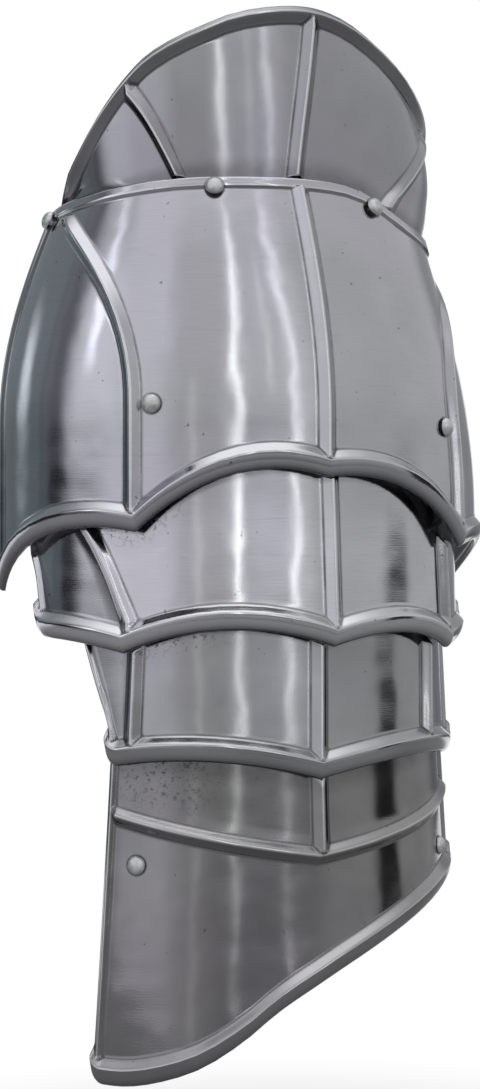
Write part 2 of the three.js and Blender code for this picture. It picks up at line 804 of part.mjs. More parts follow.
function rivetGeometry({ shape, headSeat, burrSeat }) {
  const domeRings = shape.domeRings;
  const dome = [];
  for (let k = 0; k <= domeRings; k += 1) {
    const turn = (k / domeRings) * (Math.PI / 2);
    const y = headSeat + shape.headHeight * Math.cos(turn);
    dome.push(new THREE.Vector2(shape.headRadius * Math.sin(turn), y));
  }
  const burrFace = -burrSeat - burr.thickness - seatGap;
  return new THREE.LatheGeometry(
    [
      ...dome,
      new THREE.Vector2(shape.shankRadius, headSeat),
      new THREE.Vector2(shape.shankRadius, burrFace),
      new THREE.Vector2(shape.buttonRadius, burrFace),
      new THREE.Vector2(shape.shankRadius, burrFace - shape.buttonHeight),
      new THREE.Vector2(0, burrFace - shape.buttonHeight),
    ].reverse(),
    rivetSides,
  );
}

function burrGeometry({ shape, burrSeat }) {
  const bore = shape.shankRadius + rivetHoleClearance;
  const top = -burrSeat;
  const bottom = top - burr.thickness;
  const corners = [[bore, bottom], [burr.radius, bottom], [burr.radius, top], [bore, top], [bore, bottom]];
  return new THREE.LatheGeometry(corners.map(([x, y]) => new THREE.Vector2(x, y)), rivetSides);
}

function alignToStack(object, stack) {
  object.position.copy(stack.centre);
  object.quaternion.setFromUnitVectors(new THREE.Vector3(0, 1, 0), stack.outward);
}

function holeCutter(stack) {
  const radius = stack.shape.shankRadius + rivetHoleClearance;
  const top = stack.headSeat + overrun;
  const bottom = -stack.burrSeat - overrun;
  const cutter = new THREE.CylinderGeometry(radius, radius, top - bottom, rivetSides);
  cutter.translate(0, (top + bottom) / 2, 0);
  const place = new THREE.Object3D();
  alignToStack(place, stack);
  place.updateMatrix();
  return cutter.applyMatrix4(place.matrix);
}

// Hanging leathers: patches that pass from the inside of one plate to the inside of the next
function leatherPatch({ from, to, fromSection, toSection, fromInset, toInset, blendTop, blendBottom }) {
  const sectionAt = (height, angle) => {
    const share = smooth((blendTop - height) / (blendTop - blendBottom));
    const upper = insetSection(fromSection(height, angle), fromInset);
    const lower = insetSection(toSection(height, angle), toInset);
    return {
      halfWidth: mix(upper.halfWidth, lower.halfWidth, share),
      depth: mix(upper.depth, lower.depth, share),
      lean: mix(upper.lean, lower.lean, share),
    };
  };
  const top = from.height + hangingLeather.endMargin;
  const bottom = to.height - hangingLeather.endMargin;
  const angleAt = (share) => {
    const height = mix(top, bottom, share);
    return mix(from.angle, to.angle, (from.height - height) / (from.height - to.height));
  };
  const sideAt = (side) => (share) => {
    const perDegree = surfacePerDegree(sectionAt, angleAt(share), mix(top, bottom, share));
    return angleAt(share) + (side * hangingLeather.halfWidth) / perDegree;
  };
  const rows = fillRows([
    { heightAt: () => top, share: 0, raised: 0 },
    { heightAt: () => bottom, share: 1, raised: 0, fill: 6 },
  ]);
  const columns = fillColumns([plainColumn(sideAt(-1)), plainColumn(sideAt(1), 2)]);
  return shellGeometry({ sectionAt, rows, columns, thickness: leatherThickness });
}

const besidePlate = plateThickness + leatherGap;
const besideLeather = besidePlate + leatherThickness + seatGap;
const upperSection = lameSection(upperPlate);
const middleSection = lameSection(middlePlate);

function sidePoints(side) {
  const atRear = side < 0;
  return {
    shoulder: {
      angle: atRear ? shoulderRivet.rear : shoulderRivet.front,
      height: -(atRear ? shoulderRivet.rearDrop : shoulderRivet.frontDrop),
    },
    upper: { angle: side * pivots.upper.angle, height: -pivots.upper.drop },
    middle: { angle: side * pivots.middle.angle, height: -pivots.middle.drop },
    lower: { angle: side * pivots.lower.angle, height: -pivots.lower.drop },
    strap: { angle: atRear ? strapRivet.rear : strapRivet.front, height: -strapRivet.drop },
  };
}

function hangingLeathers(side) {
  const at = sidePoints(side);
  const clearOf = (height) => height - hangingLeather.endMargin - leatherThickness;
  const before = (edgeAt, point) => edgeAt(point.angle) + leatherThickness * 2;
  return {
    upper: leatherPatch({
      from: at.shoulder, to: at.upper,
      fromSection: shoulderSection, toSection: upperSection,
      fromInset: besidePlate, toInset: besidePlate,
      blendTop: clearOf(at.shoulder.height),
      blendBottom: before(scallop(upperLame.topCusps), at.upper),
    }),
    middle: leatherPatch({
      from: at.upper, to: at.middle,
      fromSection: upperSection, toSection: middleSection,
      fromInset: besideLeather, toInset: besidePlate,
      blendTop: clearOf(at.upper.height),
      blendBottom: before(scallop(middleLame.topCusps), at.middle),
    }),
    lower: leatherPatch({
      from: at.middle, to: at.lower,
      fromSection: middleSection, toSection: lowerSection,
      fromInset: besideLeather, toInset: besidePlate,
      blendTop: clearOf(at.middle.height),
      blendBottom: before(lowerTopEdge, at.lower),
    }),
  };
}

// Strips bent from strap: a centre line in a plane, given its thickness and width
function stripGeometry(points, thickness, width) {
  const left = [];
  const right = [];
  points.forEach((point, index) => {
    const before = points[Math.max(0, index - 1)];
    const after = points[Math.min(points.length - 1, index + 1)];
    const along = after.clone().sub(before).normalize();
    const aside = new THREE.Vector2(-along.y, along.x).multiplyScalar(thickness / 2);
    left.push(point.clone().add(aside));
    right.push(point.clone().sub(aside));
  });
  const outline = new THREE.Shape([...right, ...left.reverse()]);
  const geometry = new THREE.ExtrudeGeometry(outline, { depth: width, bevelEnabled: false });
  return geometry.translate(0, 0, -width / 2);
}

// Neck leather: a curved bar behind the neck plate and a flat stem with lacing holes
const behindNeck = (height, angle) =>
  insetSection(neckSection(height, angle), plateThickness + leatherGap);
const stemAngle =
  Math.asin(neckLeather.stemHalfWidth / behindNeck(neckLeather.stemTop, 0).halfWidth) / degree;
const stemOuterFaceY = sectionPoint(behindNeck, stemAngle, neckLeather.stemTop).y;
const stemInnerFaceY = stemOuterFaceY + leatherThickness;

function neckLeatherGeometry() {
  const sectionAt = behindNeck;
  const barBottom = -neckLeather.barDrop;
  const rows = fillRows([
    { heightAt: () => shoulder.domeStart, share: 0, raised: 0 },
    { heightAt: () => barBottom, share: 1, raised: 0, fill: 3 },
  ]);
  const columns = fillColumns([
    plainColumn(() => neckLeather.barRear),
    plainColumn(() => neckLeather.barFront, 8),
  ]);
  const bar = shellGeometry({ sectionAt, rows, columns, thickness: leatherThickness });
  return fromSolid(toSolid(bar).add(toSolid(neckStemGeometry())));
}

function neckStemGeometry() {
  const half = leatherThickness / 2;
  const lineAt = (height) => {
    const seatAt = Math.min(height, neckLeather.stemBendStart);
    const onBar = sectionPoint(behindNeck, stemAngle, seatAt).y + half;
    const bend = neckLeather.stemBendEnd - neckLeather.stemBendStart;
    const share = smooth((height - neckLeather.stemBendStart) / bend);
    return mix(onBar, stemOuterFaceY + half, share);
  };
  const heights = [0, neckLeather.stemBendStart];
  const steps = 5;
  for (let k = 1; k <= steps; k += 1) {
    heights.push(mix(neckLeather.stemBendStart, neckLeather.stemBendEnd, k / steps));
  }
  heights.push(neckLeather.stemTop);
  const points = heights.map((height) => new THREE.Vector2(lineAt(height), height));
  const strip = stripGeometry(points, leatherThickness, neckLeather.stemHalfWidth * 2);
  // the strip's plane is laid into the plane of Y and Z
  strip.applyMatrix4(new THREE.Matrix4().makeBasis(
    new THREE.Vector3(0, 1, 0),
    new THREE.Vector3(0, 0, 1),
    new THREE.Vector3(1, 0, 0),
  ));
  return strip;
}

function lacingHoleCutters() {
  const height = neckLeather.stemTop - neckLeather.lacingHoleInset;
  return [-1, 1].map((side) => {
    const radius = neckLeather.lacingHoleRadius;
    const cutter = new THREE.CylinderGeometry(radius, radius, overrun * 2, 10);
    const x = (side * neckLeather.lacingHoleSpacing) / 2;
    return cutter.translate(x, stemOuterFaceY, height);
  });
}

// Arm strap and buckle, laid out in a level plane round the arm
const strapHeight = -strapRivet.drop;
const wireReach = buckle.wireRadius + seatGap;
const layerOffset = wireReach + armStrap.thickness / 2;
const layerFace = wireReach + armStrap.thickness;
const layerStep = armStrap.thickness + seatGap;
const frameHalfWidth = armStrap.width / 2 + buckle.sideGap;

function strapOnPlate(angle) {
  const top = strapHeight + armStrap.width / 2;
  const section = insetSection(lowerSection(top, angle), besidePlate + armStrap.thickness / 2);
  const turn = angle * degree;
  return new THREE.Vector2(section.halfWidth * Math.sin(turn), -section.depth * Math.cos(turn));
}

function strapRange(startAngle, endAngle, count) {
  const points = [];
  for (let k = 0; k <= count; k += 1) points.push(strapOnPlate(mix(startAngle, endAngle, k / count)));
  return points;
}

// Free stretches round the arm, as shares of the reach from the plate's edge to the back run
const rearLoopShares = [[0.2, 0.24], [0.4, 0.5], [0.58, 0.75], [0.8, 0.94]];
const frontLoopShares = [[-0.04, 0.16], [-0.02, 0.38], [0.12, 0.62], [0.38, 0.84], [0.72, 0.97]];

// The strap's climb through the buckle, as shares of the frame's length and of the rise
const climbShares = [[0.35, 0.2], [0.75, 0.85]];

function loopPoints(start, end, shares) {
  return shares.map(([xShare, yShare]) => {
    return new THREE.Vector2(mix(start.x, end.x, xShare), mix(start.y, end.y, yShare));
  });
}

function smoothPath(points, samples) {
  const raised = points.map((point) => new THREE.Vector3(point.x, point.y, 0));
  const curve = new THREE.CatmullRomCurve3(raised, false, "centripetal");
  return curve.getSpacedPoints(samples).map((point) => new THREE.Vector2(point.x, point.y));
}

function armStrapGeometry() {
  const onPlate = strapRange(
    strapRivet.rear + armStrap.endTurn,
    lowerPlate.rearEdgeBottom + armStrap.edgeTurn,
    4,
  );
  const runY = armLoop.backY - layerOffset;
  const runStart = new THREE.Vector2(armLoop.straightStart, runY);
  const free = loopPoints(onPlate.at(-1), runStart, rearLoopShares);
  const curved = smoothPath([...onPlate, ...free, runStart], 26);
  const farX = buckle.barX - buckle.length;
  const over = layerFace + layerStep - armStrap.thickness / 2;
  const settled = -layerOffset + 2 * layerStep;
  const climb = climbShares.map(([along, up]) => [
    farX + buckle.length * along,
    mix(-layerOffset, over, up),
  ]);
  const route = [
    [farX + buckle.wireRadius, -layerOffset],
    ...climb,
    [buckle.barX - buckle.wireRadius, over],
    [buckle.barX + buckle.wireRadius, over],
    [buckle.barX + chape.pinch, settled + seatGap],
    [buckle.barX + chape.pinch + overrun, settled],
    [buckle.barX + armLoop.tail, settled],
  ].map(([x, y]) => new THREE.Vector2(x, armLoop.backY + y));
  const strip = stripGeometry([...curved, ...route], armStrap.thickness, armStrap.width);
  return strip.translate(0, 0, strapHeight);
}

function strapHoleCutters() {
  const slot = new THREE.BoxGeometry(armStrap.slotLength, overrun * 3, prong.width + seatGap * 4);
  slot.translate(buckle.barX - armStrap.slotLength / 2, armLoop.backY, strapHeight);
  const round = armStrap.holeSteps.map((step) => {
    const cutter = new THREE.CylinderGeometry(armStrap.holeRadius, armStrap.holeRadius, overrun * 3, 8);
    return cutter.translate(buckle.barX + step * armStrap.holeSpacing, armLoop.backY, strapHeight);
  });
  return [slot, ...round];
}

function buckleStrapGeometry() {
  const onPlate = strapRange(
    strapRivet.front - chape.endTurn,
    lowerPlate.frontEdgeBottom - chape.edgeTurn,
    4,
  );
  const foldEnd = new THREE.Vector2(buckle.barX + armLoop.tail, armLoop.backY - layerOffset);
  const free = loopPoints(onPlate.at(-1), foldEnd, frontLoopShares);
  const curved = smoothPath([...onPlate, ...free, foldEnd], 24);
  const fold = [];
  const steps = 6;
  for (let k = 0; k <= steps; k += 1) {
    const turn = (k / steps) * Math.PI;
    fold.push([buckle.barX - layerOffset * Math.sin(turn), -layerOffset * Math.cos(turn)]);
  }
  const tucked = -layerOffset + layerStep;
  const route = [
    ...fold,
    [buckle.barX + chape.pinch, tucked + seatGap],
    [buckle.barX + chape.foldLength, tucked],
  ].map(([x, y]) => new THREE.Vector2(x, armLoop.backY + y));
  const strip = stripGeometry([...curved, ...route], armStrap.thickness, armStrap.width);
  return strip.translate(0, 0, strapHeight);
}

function prongSlotCutter() {
  const reach = layerFace + seatGap;
  const slot = new THREE.BoxGeometry(reach * 2, reach * 2 - seatGap, prong.width + seatGap * 2);
  return slot.translate(buckle.barX, armLoop.backY, strapHeight);
}

function buckleFrameGeometry() {
  const corners = [[0, -1], [0, 1], [-1, 1], [-1, -1]].map(([x, z]) => new THREE.Vector3(
    x * buckle.length,
    0,
    z * (frameHalfWidth + buckle.wireRadius),
  ));
  const wires = corners.map((start, index) => {
    const end = corners[(index + 1) % corners.length];
    const along = end.clone().sub(start);
    const wire = new THREE.CapsuleGeometry(buckle.wireRadius, along.length(), 2, 8);
    const place = new THREE.Object3D();
    place.position.copy(start).addScaledVector(along, 0.5);
    place.quaternion.setFromUnitVectors(new THREE.Vector3(0, 1, 0), along.normalize());
    place.updateMatrix();
    return toSolid(wire.applyMatrix4(place.matrix));
  });
  return fromSolid(wires.reduce((joined, wire) => joined.add(wire)));
}

function prongGeometry() {
  const bore = wireReach;
  const outer = wireReach + buckle.eyeWall;
  const topY = wireReach + prong.thickness;
  const tipX = -buckle.length - buckle.wireRadius - prong.tipOverhang;
  const outline = new THREE.Shape();
  outline.moveTo(0, outer);
  outline.absarc(0, 0, outer, Math.PI / 2, -Math.PI, true);
  outline.lineTo(tipX / 2, wireReach * prong.archShares.under);
  outline.lineTo(-buckle.length + buckle.wireRadius, wireReach);
  outline.lineTo(tipX, wireReach);
  outline.lineTo(tipX, wireReach + prong.thickness / 2);
  outline.lineTo(-buckle.length, topY);
  outline.lineTo(tipX / 2, topY * prong.archShares.over);
  outline.closePath();
  const hole = new THREE.Path();
  hole.absarc(0, 0, bore, 0, Math.PI * 2, false);
  outline.holes.push(hole);
  const settings = { depth: prong.width, bevelEnabled: false, curveSegments: 8 };
  return new THREE.ExtrudeGeometry(outline, settings).translate(0, 0, -prong.width / 2);
}

function keeperGeometry() {
  const innerLow = -layerOffset - armStrap.thickness / 2 - seatGap;
  const innerHigh = -layerOffset + 2 * layerStep + armStrap.thickness / 2 + seatGap * 2;
  const halfDepth = armStrap.width / 2 + seatGap;
  const box = (wall) => [
    new THREE.Vector2(innerLow - wall, -halfDepth - wall),
    new THREE.Vector2(innerHigh + wall, -halfDepth - wall),
    new THREE.Vector2(innerHigh + wall, halfDepth + wall),
    new THREE.Vector2(innerLow - wall, halfDepth + wall),
  ];
  const outline = new THREE.Shape(box(keeper.wall));
  outline.holes.push(new THREE.Path(box(0)));
  const ring = new THREE.ExtrudeGeometry(outline, { depth: keeper.width, bevelEnabled: false });
  ring.applyMatrix4(new THREE.Matrix4().makeBasis(
    new THREE.Vector3(0, 1, 0),
    new THREE.Vector3(0, 0, 1),
    new THREE.Vector3(1, 0, 0),
  ));
  return ring;
}

// Assembly. The origin is the middle of the neck leather's flat inner face.
const pauldron = new THREE.Group();
const mountHeight = (neckLeather.stemBendEnd + neckLeather.stemTop - neckLeather.lacingHoleInset * 2) / 2;
const body = new THREE.Group();
body.position.set(0, -stemInnerFaceY, -mountHeight);
pauldron.add(body);

function addPiece(name, geometry, material) {
  const piece = new THREE.Mesh(geometry, material);
  piece.name = name;
  body.add(piece);
  return piece;
}

function addRivetAndBurr(name, stack) {
  alignToStack(addPiece(name, rivetGeometry(stack), rivetSteel()), stack);
  alignToStack(addPiece(`${name}_burr`, burrGeometry(stack), rivetSteel()), stack);
}

const sheets = {
  shoulder: shoulderPlateGeometry(),
  neck: neckPlateGeometry(),
  upper: lameGeometry(upperPlate, shoulderBottomEdge, 2, { rear: 2, middle: 4, front: 3 }),
  middle: lameGeometry(middlePlate, upperBottomEdge, 2, { rear: 2, middle: 4, front: 3 }),
  lower: lowerPlateGeometry(),
  neckLeather: neckLeatherGeometry(),
  armStrap: armStrapGeometry(),
  buckleStrap: buckleStrapGeometry(),
};
const leathers = { rear: hangingLeathers(-1), front: hangingLeathers(1) };
const points = { rear: sidePoints(-1), front: sidePoints(1) };

// Rivets along the shoulder plate's top edge
function topStack(angle, inset, innerSheet) {
  const height = shoulderTopEdge(angle) - inset;
  return rivetStack(rivet, shoulderSection, angle, height, sheets.shoulder, innerSheet);
}
const cornerTurn = topRivet.cornerInset / surfacePerDegree(shoulderSection, shoulder.rearEdge, 0);
const topStacks = {
  top_rivet_rear_corner: topStack(shoulder.rearEdge + cornerTurn, topRivet.inset, sheets.neck),
  top_rivet_rear: topStack(topRivet.rear, topRivet.inset, sheets.neckLeather),
  top_rivet_front: topStack(topRivet.front, topRivet.inset, sheets.neckLeather),
  top_rivet_front_corner: topStack(shoulder.frontEdge - cornerTurn, topRivet.inset, sheets.neck),
};

// Rivets that carry the leathers and the arm strap, on one side
function sideStacks(side, strapSheet) {
  const at = points[side];
  const stack = (shape, sectionAt, point, outer, inner) =>
    rivetStack(shape, sectionAt, point.angle, point.height, outer, inner);
  return {
    shoulder: stack(rivet, shoulderSection, at.shoulder, sheets.shoulder, leathers[side].upper),
    upper: stack(lowRivet, upperSection, at.upper, sheets.upper, leathers[side].middle),
    middle: stack(lowRivet, middleSection, at.middle, sheets.middle, leathers[side].lower),
    lower: stack(lowRivet, lowerSection, at.lower, sheets.lower, leathers[side].lower),
    strap: stack(rivet, lowerSection, at.strap, sheets.lower, strapSheet),
  };
}
const stacks = {
  rear: sideStacks("rear", sheets.armStrap),
  front: sideStacks("front", sheets.buckleStrap),
};
const bothSides = (name) => [stacks.rear[name], stacks.front[name]].map(holeCutter);
const topCutters = Object.values(topStacks).map(holeCutter);

addPiece("neck_plate", cutAll(sheets.neck, topCutters), polishedSteel());
addPiece(
  "shoulder_plate",
  cutAll(sheets.shoulder, [...topCutters, ...bothSides("shoulder")]),
  polishedSteel(),
);
addPiece("upper_lame", cutAll(sheets.upper, bothSides("upper")), polishedSteel());
addPiece("middle_lame", cutAll(sheets.middle, bothSides("middle")), polishedSteel());
addPiece(
  "lower_plate",
  cutAll(sheets.lower, [...bothSides("lower"), ...bothSides("strap")]),
  polishedSteel(),
);
for (const [name, stack] of Object.entries(topStacks)) addRivetAndBurr(name, stack);
for (const side of ["rear", "front"]) {
  const at = stacks[side];
  const leather = leathers[side];
  addRivetAndBurr(`shoulder_rivet_${side}`, at.shoulder);
  addRivetAndBurr(`upper_lame_rivet_${side}`, at.upper);
  addRivetAndBurr(`middle_lame_rivet_${side}`, at.middle);
  addRivetAndBurr(`lower_plate_rivet_${side}`, at.lower);
  addRivetAndBurr(`strap_rivet_${side}`, at.strap);
  const cut = (sheet, holders) => cutAll(sheet, holders.map(holeCutter));
  addPiece(`upper_leather_${side}`, cut(leather.upper, [at.shoulder, at.upper]), strapLeather());
  addPiece(`middle_leather_${side}`, cut(leather.middle, [at.upper, at.middle]), strapLeather());
  addPiece(`lower_leather_${side}`, cut(leather.lower, [at.middle, at.lower]), strapLeather());
}
const neckCutters = [topStacks.top_rivet_rear, topStacks.top_rivet_front].map(holeCutter);
addPiece(
  "neck_leather",
  cutAll(sheets.neckLeather, [...neckCutters, ...lacingHoleCutters()]),
  strapLeather(),
);
const tongueCutters = [holeCutter(stacks.rear.strap), ...strapHoleCutters()];
addPiece("arm_strap", cutAll(sheets.armStrap, tongueCutters), strapLeather());
const chapeCutters = [holeCutter(stacks.front.strap), prongSlotCutter()];
addPiece("buckle_strap", cutAll(sheets.buckleStrap, chapeCutters), strapLeather());

const buckleGroup = new THREE.Group();
buckleGroup.position.set(buckle.barX, armLoop.backY, strapHeight);
body.add(buckleGroup);
const frame = addPiece("buckle_frame", buckleFrameGeometry(), buckleIron());
const pin = addPiece("buckle_prong", prongGeometry(), buckleIron());
const loop = addPiece("strap_keeper", keeperGeometry(), strapLeather());
loop.position.x = keeper.offset;
buckleGroup.add(frame, pin, loop);

export default pauldron;
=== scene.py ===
"""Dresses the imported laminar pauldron: smooth raised plates, domed rivets and leathers, with a
studio and the camera.

Shapes are worked out in millimetres in the shoulder frame (arm axis at x = y = 0, height 0 near
the shoulder plate's top edge) and then moved to the row frame in metres.
"""
import math

import bmesh
import bpy
import numpy as np
from mathutils import Matrix, Vector


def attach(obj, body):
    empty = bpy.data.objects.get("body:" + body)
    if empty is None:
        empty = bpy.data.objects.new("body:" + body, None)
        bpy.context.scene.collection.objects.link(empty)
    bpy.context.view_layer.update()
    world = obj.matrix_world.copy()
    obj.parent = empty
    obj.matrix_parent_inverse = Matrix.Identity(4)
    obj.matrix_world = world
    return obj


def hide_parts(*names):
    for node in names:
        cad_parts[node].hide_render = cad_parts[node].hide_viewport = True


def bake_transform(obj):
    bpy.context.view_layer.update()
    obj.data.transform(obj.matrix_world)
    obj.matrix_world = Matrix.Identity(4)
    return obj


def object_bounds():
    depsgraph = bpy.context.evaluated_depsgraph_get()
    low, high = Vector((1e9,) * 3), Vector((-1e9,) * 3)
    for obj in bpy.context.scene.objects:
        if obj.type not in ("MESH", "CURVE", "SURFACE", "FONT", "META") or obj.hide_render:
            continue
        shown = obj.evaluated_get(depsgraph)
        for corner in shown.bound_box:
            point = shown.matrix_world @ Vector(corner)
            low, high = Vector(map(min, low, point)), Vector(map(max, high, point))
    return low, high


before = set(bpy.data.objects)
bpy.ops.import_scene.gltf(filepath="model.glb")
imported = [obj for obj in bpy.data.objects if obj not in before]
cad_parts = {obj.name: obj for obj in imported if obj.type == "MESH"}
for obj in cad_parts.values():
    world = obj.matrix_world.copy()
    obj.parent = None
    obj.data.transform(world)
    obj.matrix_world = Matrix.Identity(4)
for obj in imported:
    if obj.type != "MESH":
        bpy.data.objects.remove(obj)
cad_box = [list(corner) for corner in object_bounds()]

# Where the shoulder frame's zero lies in the row frame, in millimetres
FRAME_SHIFT = np.array([0.0, 47.5255, -33.0])

# Driving dimensions, in millimetres and degrees
PLATE = 1.2
LEATHER = 2.2
PLATE_FIT = 1.0
LEATHER_GAP = 1.05
SEAT_GAP = 0.3
RIDGE = {"height": 3.6, "half": 4.4, "run": -0.4, "end": 5.0}
BORDER = {"height": 3.5, "edge": 6.8, "foot": 4.8}
RIM = {"height": 4.2, "edge_height": 2.0, "edge": 2.6, "foot": 5.4}
BAND = {"height": 1.2, "edge": 4.0, "foot": 1.2}
BELT = {"height": 2.9, "foot": 4.4, "top_share": 0.38, "share": 0.4, "bottom_share": 0.42}
ROLL = {"height": 1.8, "edge": 1.8, "foot": 2.8}

SHOULDER = {
    "rear": -98, "front": 98, "dome_start": 5, "rear_drop": 95, "front_drop": 135,
    "front_power": 1.35, "width_top": 81, "width": 107, "depth_top": 61, "depth": 90, "rise": 6,
    "foot": 43.6, "turn": 41.4, "turn_end": 0.72, "turn_power": 2.3,
    "rear_ridge_rise": 0.12, "front_ridge_rise": 0.45, "centre": 0.8, "seam": 0.045,
}
# Height along the shoulder plate's top edge, by angle, as a share of its rise
SHOULDER_TOP = [(-98, -0.65), (-69, 0.05), (-56, 0.43), (-36, 0.88), (-15, 1.02), (0, 1.06),
                (12, 0.97), (20, 0.74), (28, 0.1), (42, -1.25), (65, -2.2), (98, -2.7)]
# Cusps of a scalloped edge: angle, drop, and how far the arc to the next one rises
SHOULDER_CUSPS = [(-98, 167, 11), (-43, 142, 12), (1, 119.5, 10), (45, 148, 11), (98, 168, 0)]
NECK = {
    "overlap": 10, "fade": 1.2, "top": 81, "gap": 1, "run": 12, "rear_flare": 6,
    "front_flare": 12, "bulge": 8.5, "lean": 14,
    "ridges": [(-51, -34), (7, -1), (63, 29)], "fills": (14, 12, 12),
    "steepness": (0.55, 1.0, 1.0), "front_ridge_at_rim": 0.5,
    "fade_share": 0.81, "edge_share": 0.85,
}
# Height along the neck plate's rim, by angle, as a share of its top
NECK_RIM = [(-98, -0.067), (-84, 0.157), (-75, 0.262), (-65, 0.405), (-46, 0.683), (-38, 0.77),
            (-26, 0.866), (-14, 0.95), (4, 1), (16, 0.963), (31, 0.836), (50, 0.646), (72, 0.422),
            (98, 0.062)]
# Lames: angles of the sides at the top and the bottom, then width and depth at the two drops;
# a ridge is given by its angles at the top and the bottom and by how far it bows between them
UPPER = {
    "rear": (-85, -78), "front": (85, 78), "drop": (120, 200), "width": (99.5, 101),
    "inset": 3, "depth": (84, 86), "corner": 7,
    "ridges": [(-65.5, -46.5, 2), (3, 4, 0), (44, 46, 0)],
    "top": [(-85, 136, 0), (-43, 126, 6), (3, 106, 6), (45, 128, 0), (85, 138, 0)],
    "cusps": [(-78, 186, 1.5), (-48, 191.5, 8.5), (4, 189, 6.5), (48, 191.5, 1.5), (78, 187, 0)],
}
MIDDLE = {
    "rear": (-67, -54.5), "front": (74, 70), "drop": (180, 250), "width": (94.4, 97),
    "inset": 5, "depth": (78.8, 83), "corner": 6,
    "ridges": [(-46, -47, 0), (2, 1, 0), (45, 42, 0)],
    "top": [(-67, 174, 0), (-47, 174, 4), (2, 174, 4), (46, 174, 0), (74, 174, 0)],
    "cusps": [(-54.5, 239, 5.5), (1, 243.5, 5.5), (70, 240, 0)],
}
LOWER = {
    "rear": (-54.5, -57), "front": (72, 72), "drop": (220, 370), "width": (91, 100),
    "inset": 2.5, "depth": (74, 82), "corner": 5, "centre": 3, "short": 293, "slant": 76,
    "top": [(-56, 236, 0), (-49, 226, 2), (2, 226, 3), (72, 224, 0)],
    "belt": [(-56, 257.5, -1), (2, 275.5, -1.5), (72, 253, 0)],
}
# Share of the lower plate's slant, by angle
SLANT = [(-57, 1), (-47, 1), (-38, 0.965), (-28, 0.89), (-18, 0.755), (-9, 0.6), (2, 0.46),
         (13, 0.345), (27, 0.225), (42, 0.12), (56, 0.045), (72, 0)]

HEAD = {"radius": 4.0, "height": 2.8}
LOW_HEAD = {"radius": 4.0, "height": 1.0}
LIP = {"share": 0.96, "height": 0.12}
SHANK = 1.7
BUTTON = {"radius": 2.8, "height": 1.2, "top_share": 0.92, "top_drop": 0.3, "end_share": 0.7,
          "end_rise": 0.2}
BURR = {"radius": 4.5, "play": 0.1, "soft": 0.2}
# Rings of a head's dome, sides of a turned piece, and the angle from which its edges are sharp
LATHE = {"rings": 9, "sides": 32, "sharp": 42}
# Radius at which a turned piece closes on its axis
AXIS = 1e-4
# Places of rivets: angle and height; the hidden ones are given for the front
SHOULDER_RIVETS = {"rear": (-39, -90), "front": (39, -97)}
STRAP_RIVETS = {"rear": (-46, -279), "front": (56, -279)}
PIVOTS = {"upper": (48, -134), "middle": (46, -183), "lower": (44, -231.5)}
# Rivets along the shoulder plate's top edge: angles, and how far in from the edges
TOP_RIVETS = {"top_rivet_rear": -25, "top_rivet_front": 27}
TOP_INSET = 4.6
CORNER_INSET = 5.0
# Hanging leathers: half the width, length past a rivet, rounding, grid, and where they bend
HANGER = {"half": 9.0, "margin": 9.0, "corner": 3.0, "rows": 47, "columns": 9, "bend": (14, 2)}
# Softened edges: up to which angle faces are merged, from which one an edge is bevelled
SOFTEN = {"flat": 3, "sharp": 50, "profile": 0.6}

# Metres within which two points are one
SAME_POINT = 1e-6
# Small steps for slopes: in degrees, in millimetres and as a share of the way down
ANGLE_STEP, HEIGHT_STEP, SHARE_STEP = 0.05, 0.06, 0.01
# Shortest distance over which a slope is taken, in millimetres
SHORTEST = 0.05
# How sharply raised lines join where they cross: the higher, the sharper
JOIN = 6


# Small mathematics on arrays
def mix(a, b, t):
    return a + (b - a) * t


def clamp(v):
    return np.clip(v, 0.0, 1.0)


def smooth(v):
    t = clamp(v)
    return t * t * (3 - 2 * t)


def curve(table, at):
    """A smooth curve through a table of (position, value)."""
    xs, ys = np.array(table, float).T
    ends = np.diff(ys) / np.diff(xs)
    slopes = np.concatenate([ends[:1], (ys[2:] - ys[:-2]) / (xs[2:] - xs[:-2]), ends[-1:]])
    at = np.asarray(at, float)
    i = np.clip(np.searchsorted(xs, at) - 1, 0, len(xs) - 2)
    span = xs[i + 1] - xs[i]
    t = clamp((at - xs[i]) / span)
    return (ys[i] * (2 * t**3 - 3 * t**2 + 1) + slopes[i] * span * (t**3 - 2 * t**2 + t)
            + ys[i + 1] * (3 * t**2 - 2 * t**3) + slopes[i + 1] * span * (t**3 - t**2))


def scallop(cusps, at):
    """A scalloped edge: cusps joined by shallow arcs."""
    angles, drops, rises = np.array(cusps, float).T
    at = np.asarray(at, float)
    i = np.clip(np.searchsorted(angles, at) - 1, 0, len(cusps) - 2)
    t = (at - angles[i]) / (angles[i + 1] - angles[i])
    inside = clamp(t)
    return -mix(drops[i], drops[i + 1], t) + rises[i] * 4 * inside * (1 - inside)


# Edges and sections
def shoulder_top(a):
    return curve(SHOULDER_TOP, a) * SHOULDER["rise"]


def shoulder_bottom(a):
    return scallop(SHOULDER_CUSPS, a)


def rim_edge(a):
    return curve(NECK_RIM, a) * NECK["top"]


# A section gives half the width, half the depth and the lean at a height and an angle
def shoulder_section(z, a):
    s = SHOULDER
    rear = np.asarray(a) < 0
    full = np.where(rear, s["rear_drop"], s["front_drop"])

    def domed(drop):
        return np.sin(clamp((s["dome_start"] - z) / (s["dome_start"] + drop)) * math.pi / 2)

    widening = domed(full) ** np.where(rear, 1.0, s["front_power"])
    return (mix(s["width_top"], s["width"], widening),
            mix(s["depth_top"], s["depth"], domed(s["rear_drop"])), 0.0 * widening)


def inset(section, by):
    def result(z, a):
        w, d, lean = section(z, a)
        return w - by, d - by, lean
    return result


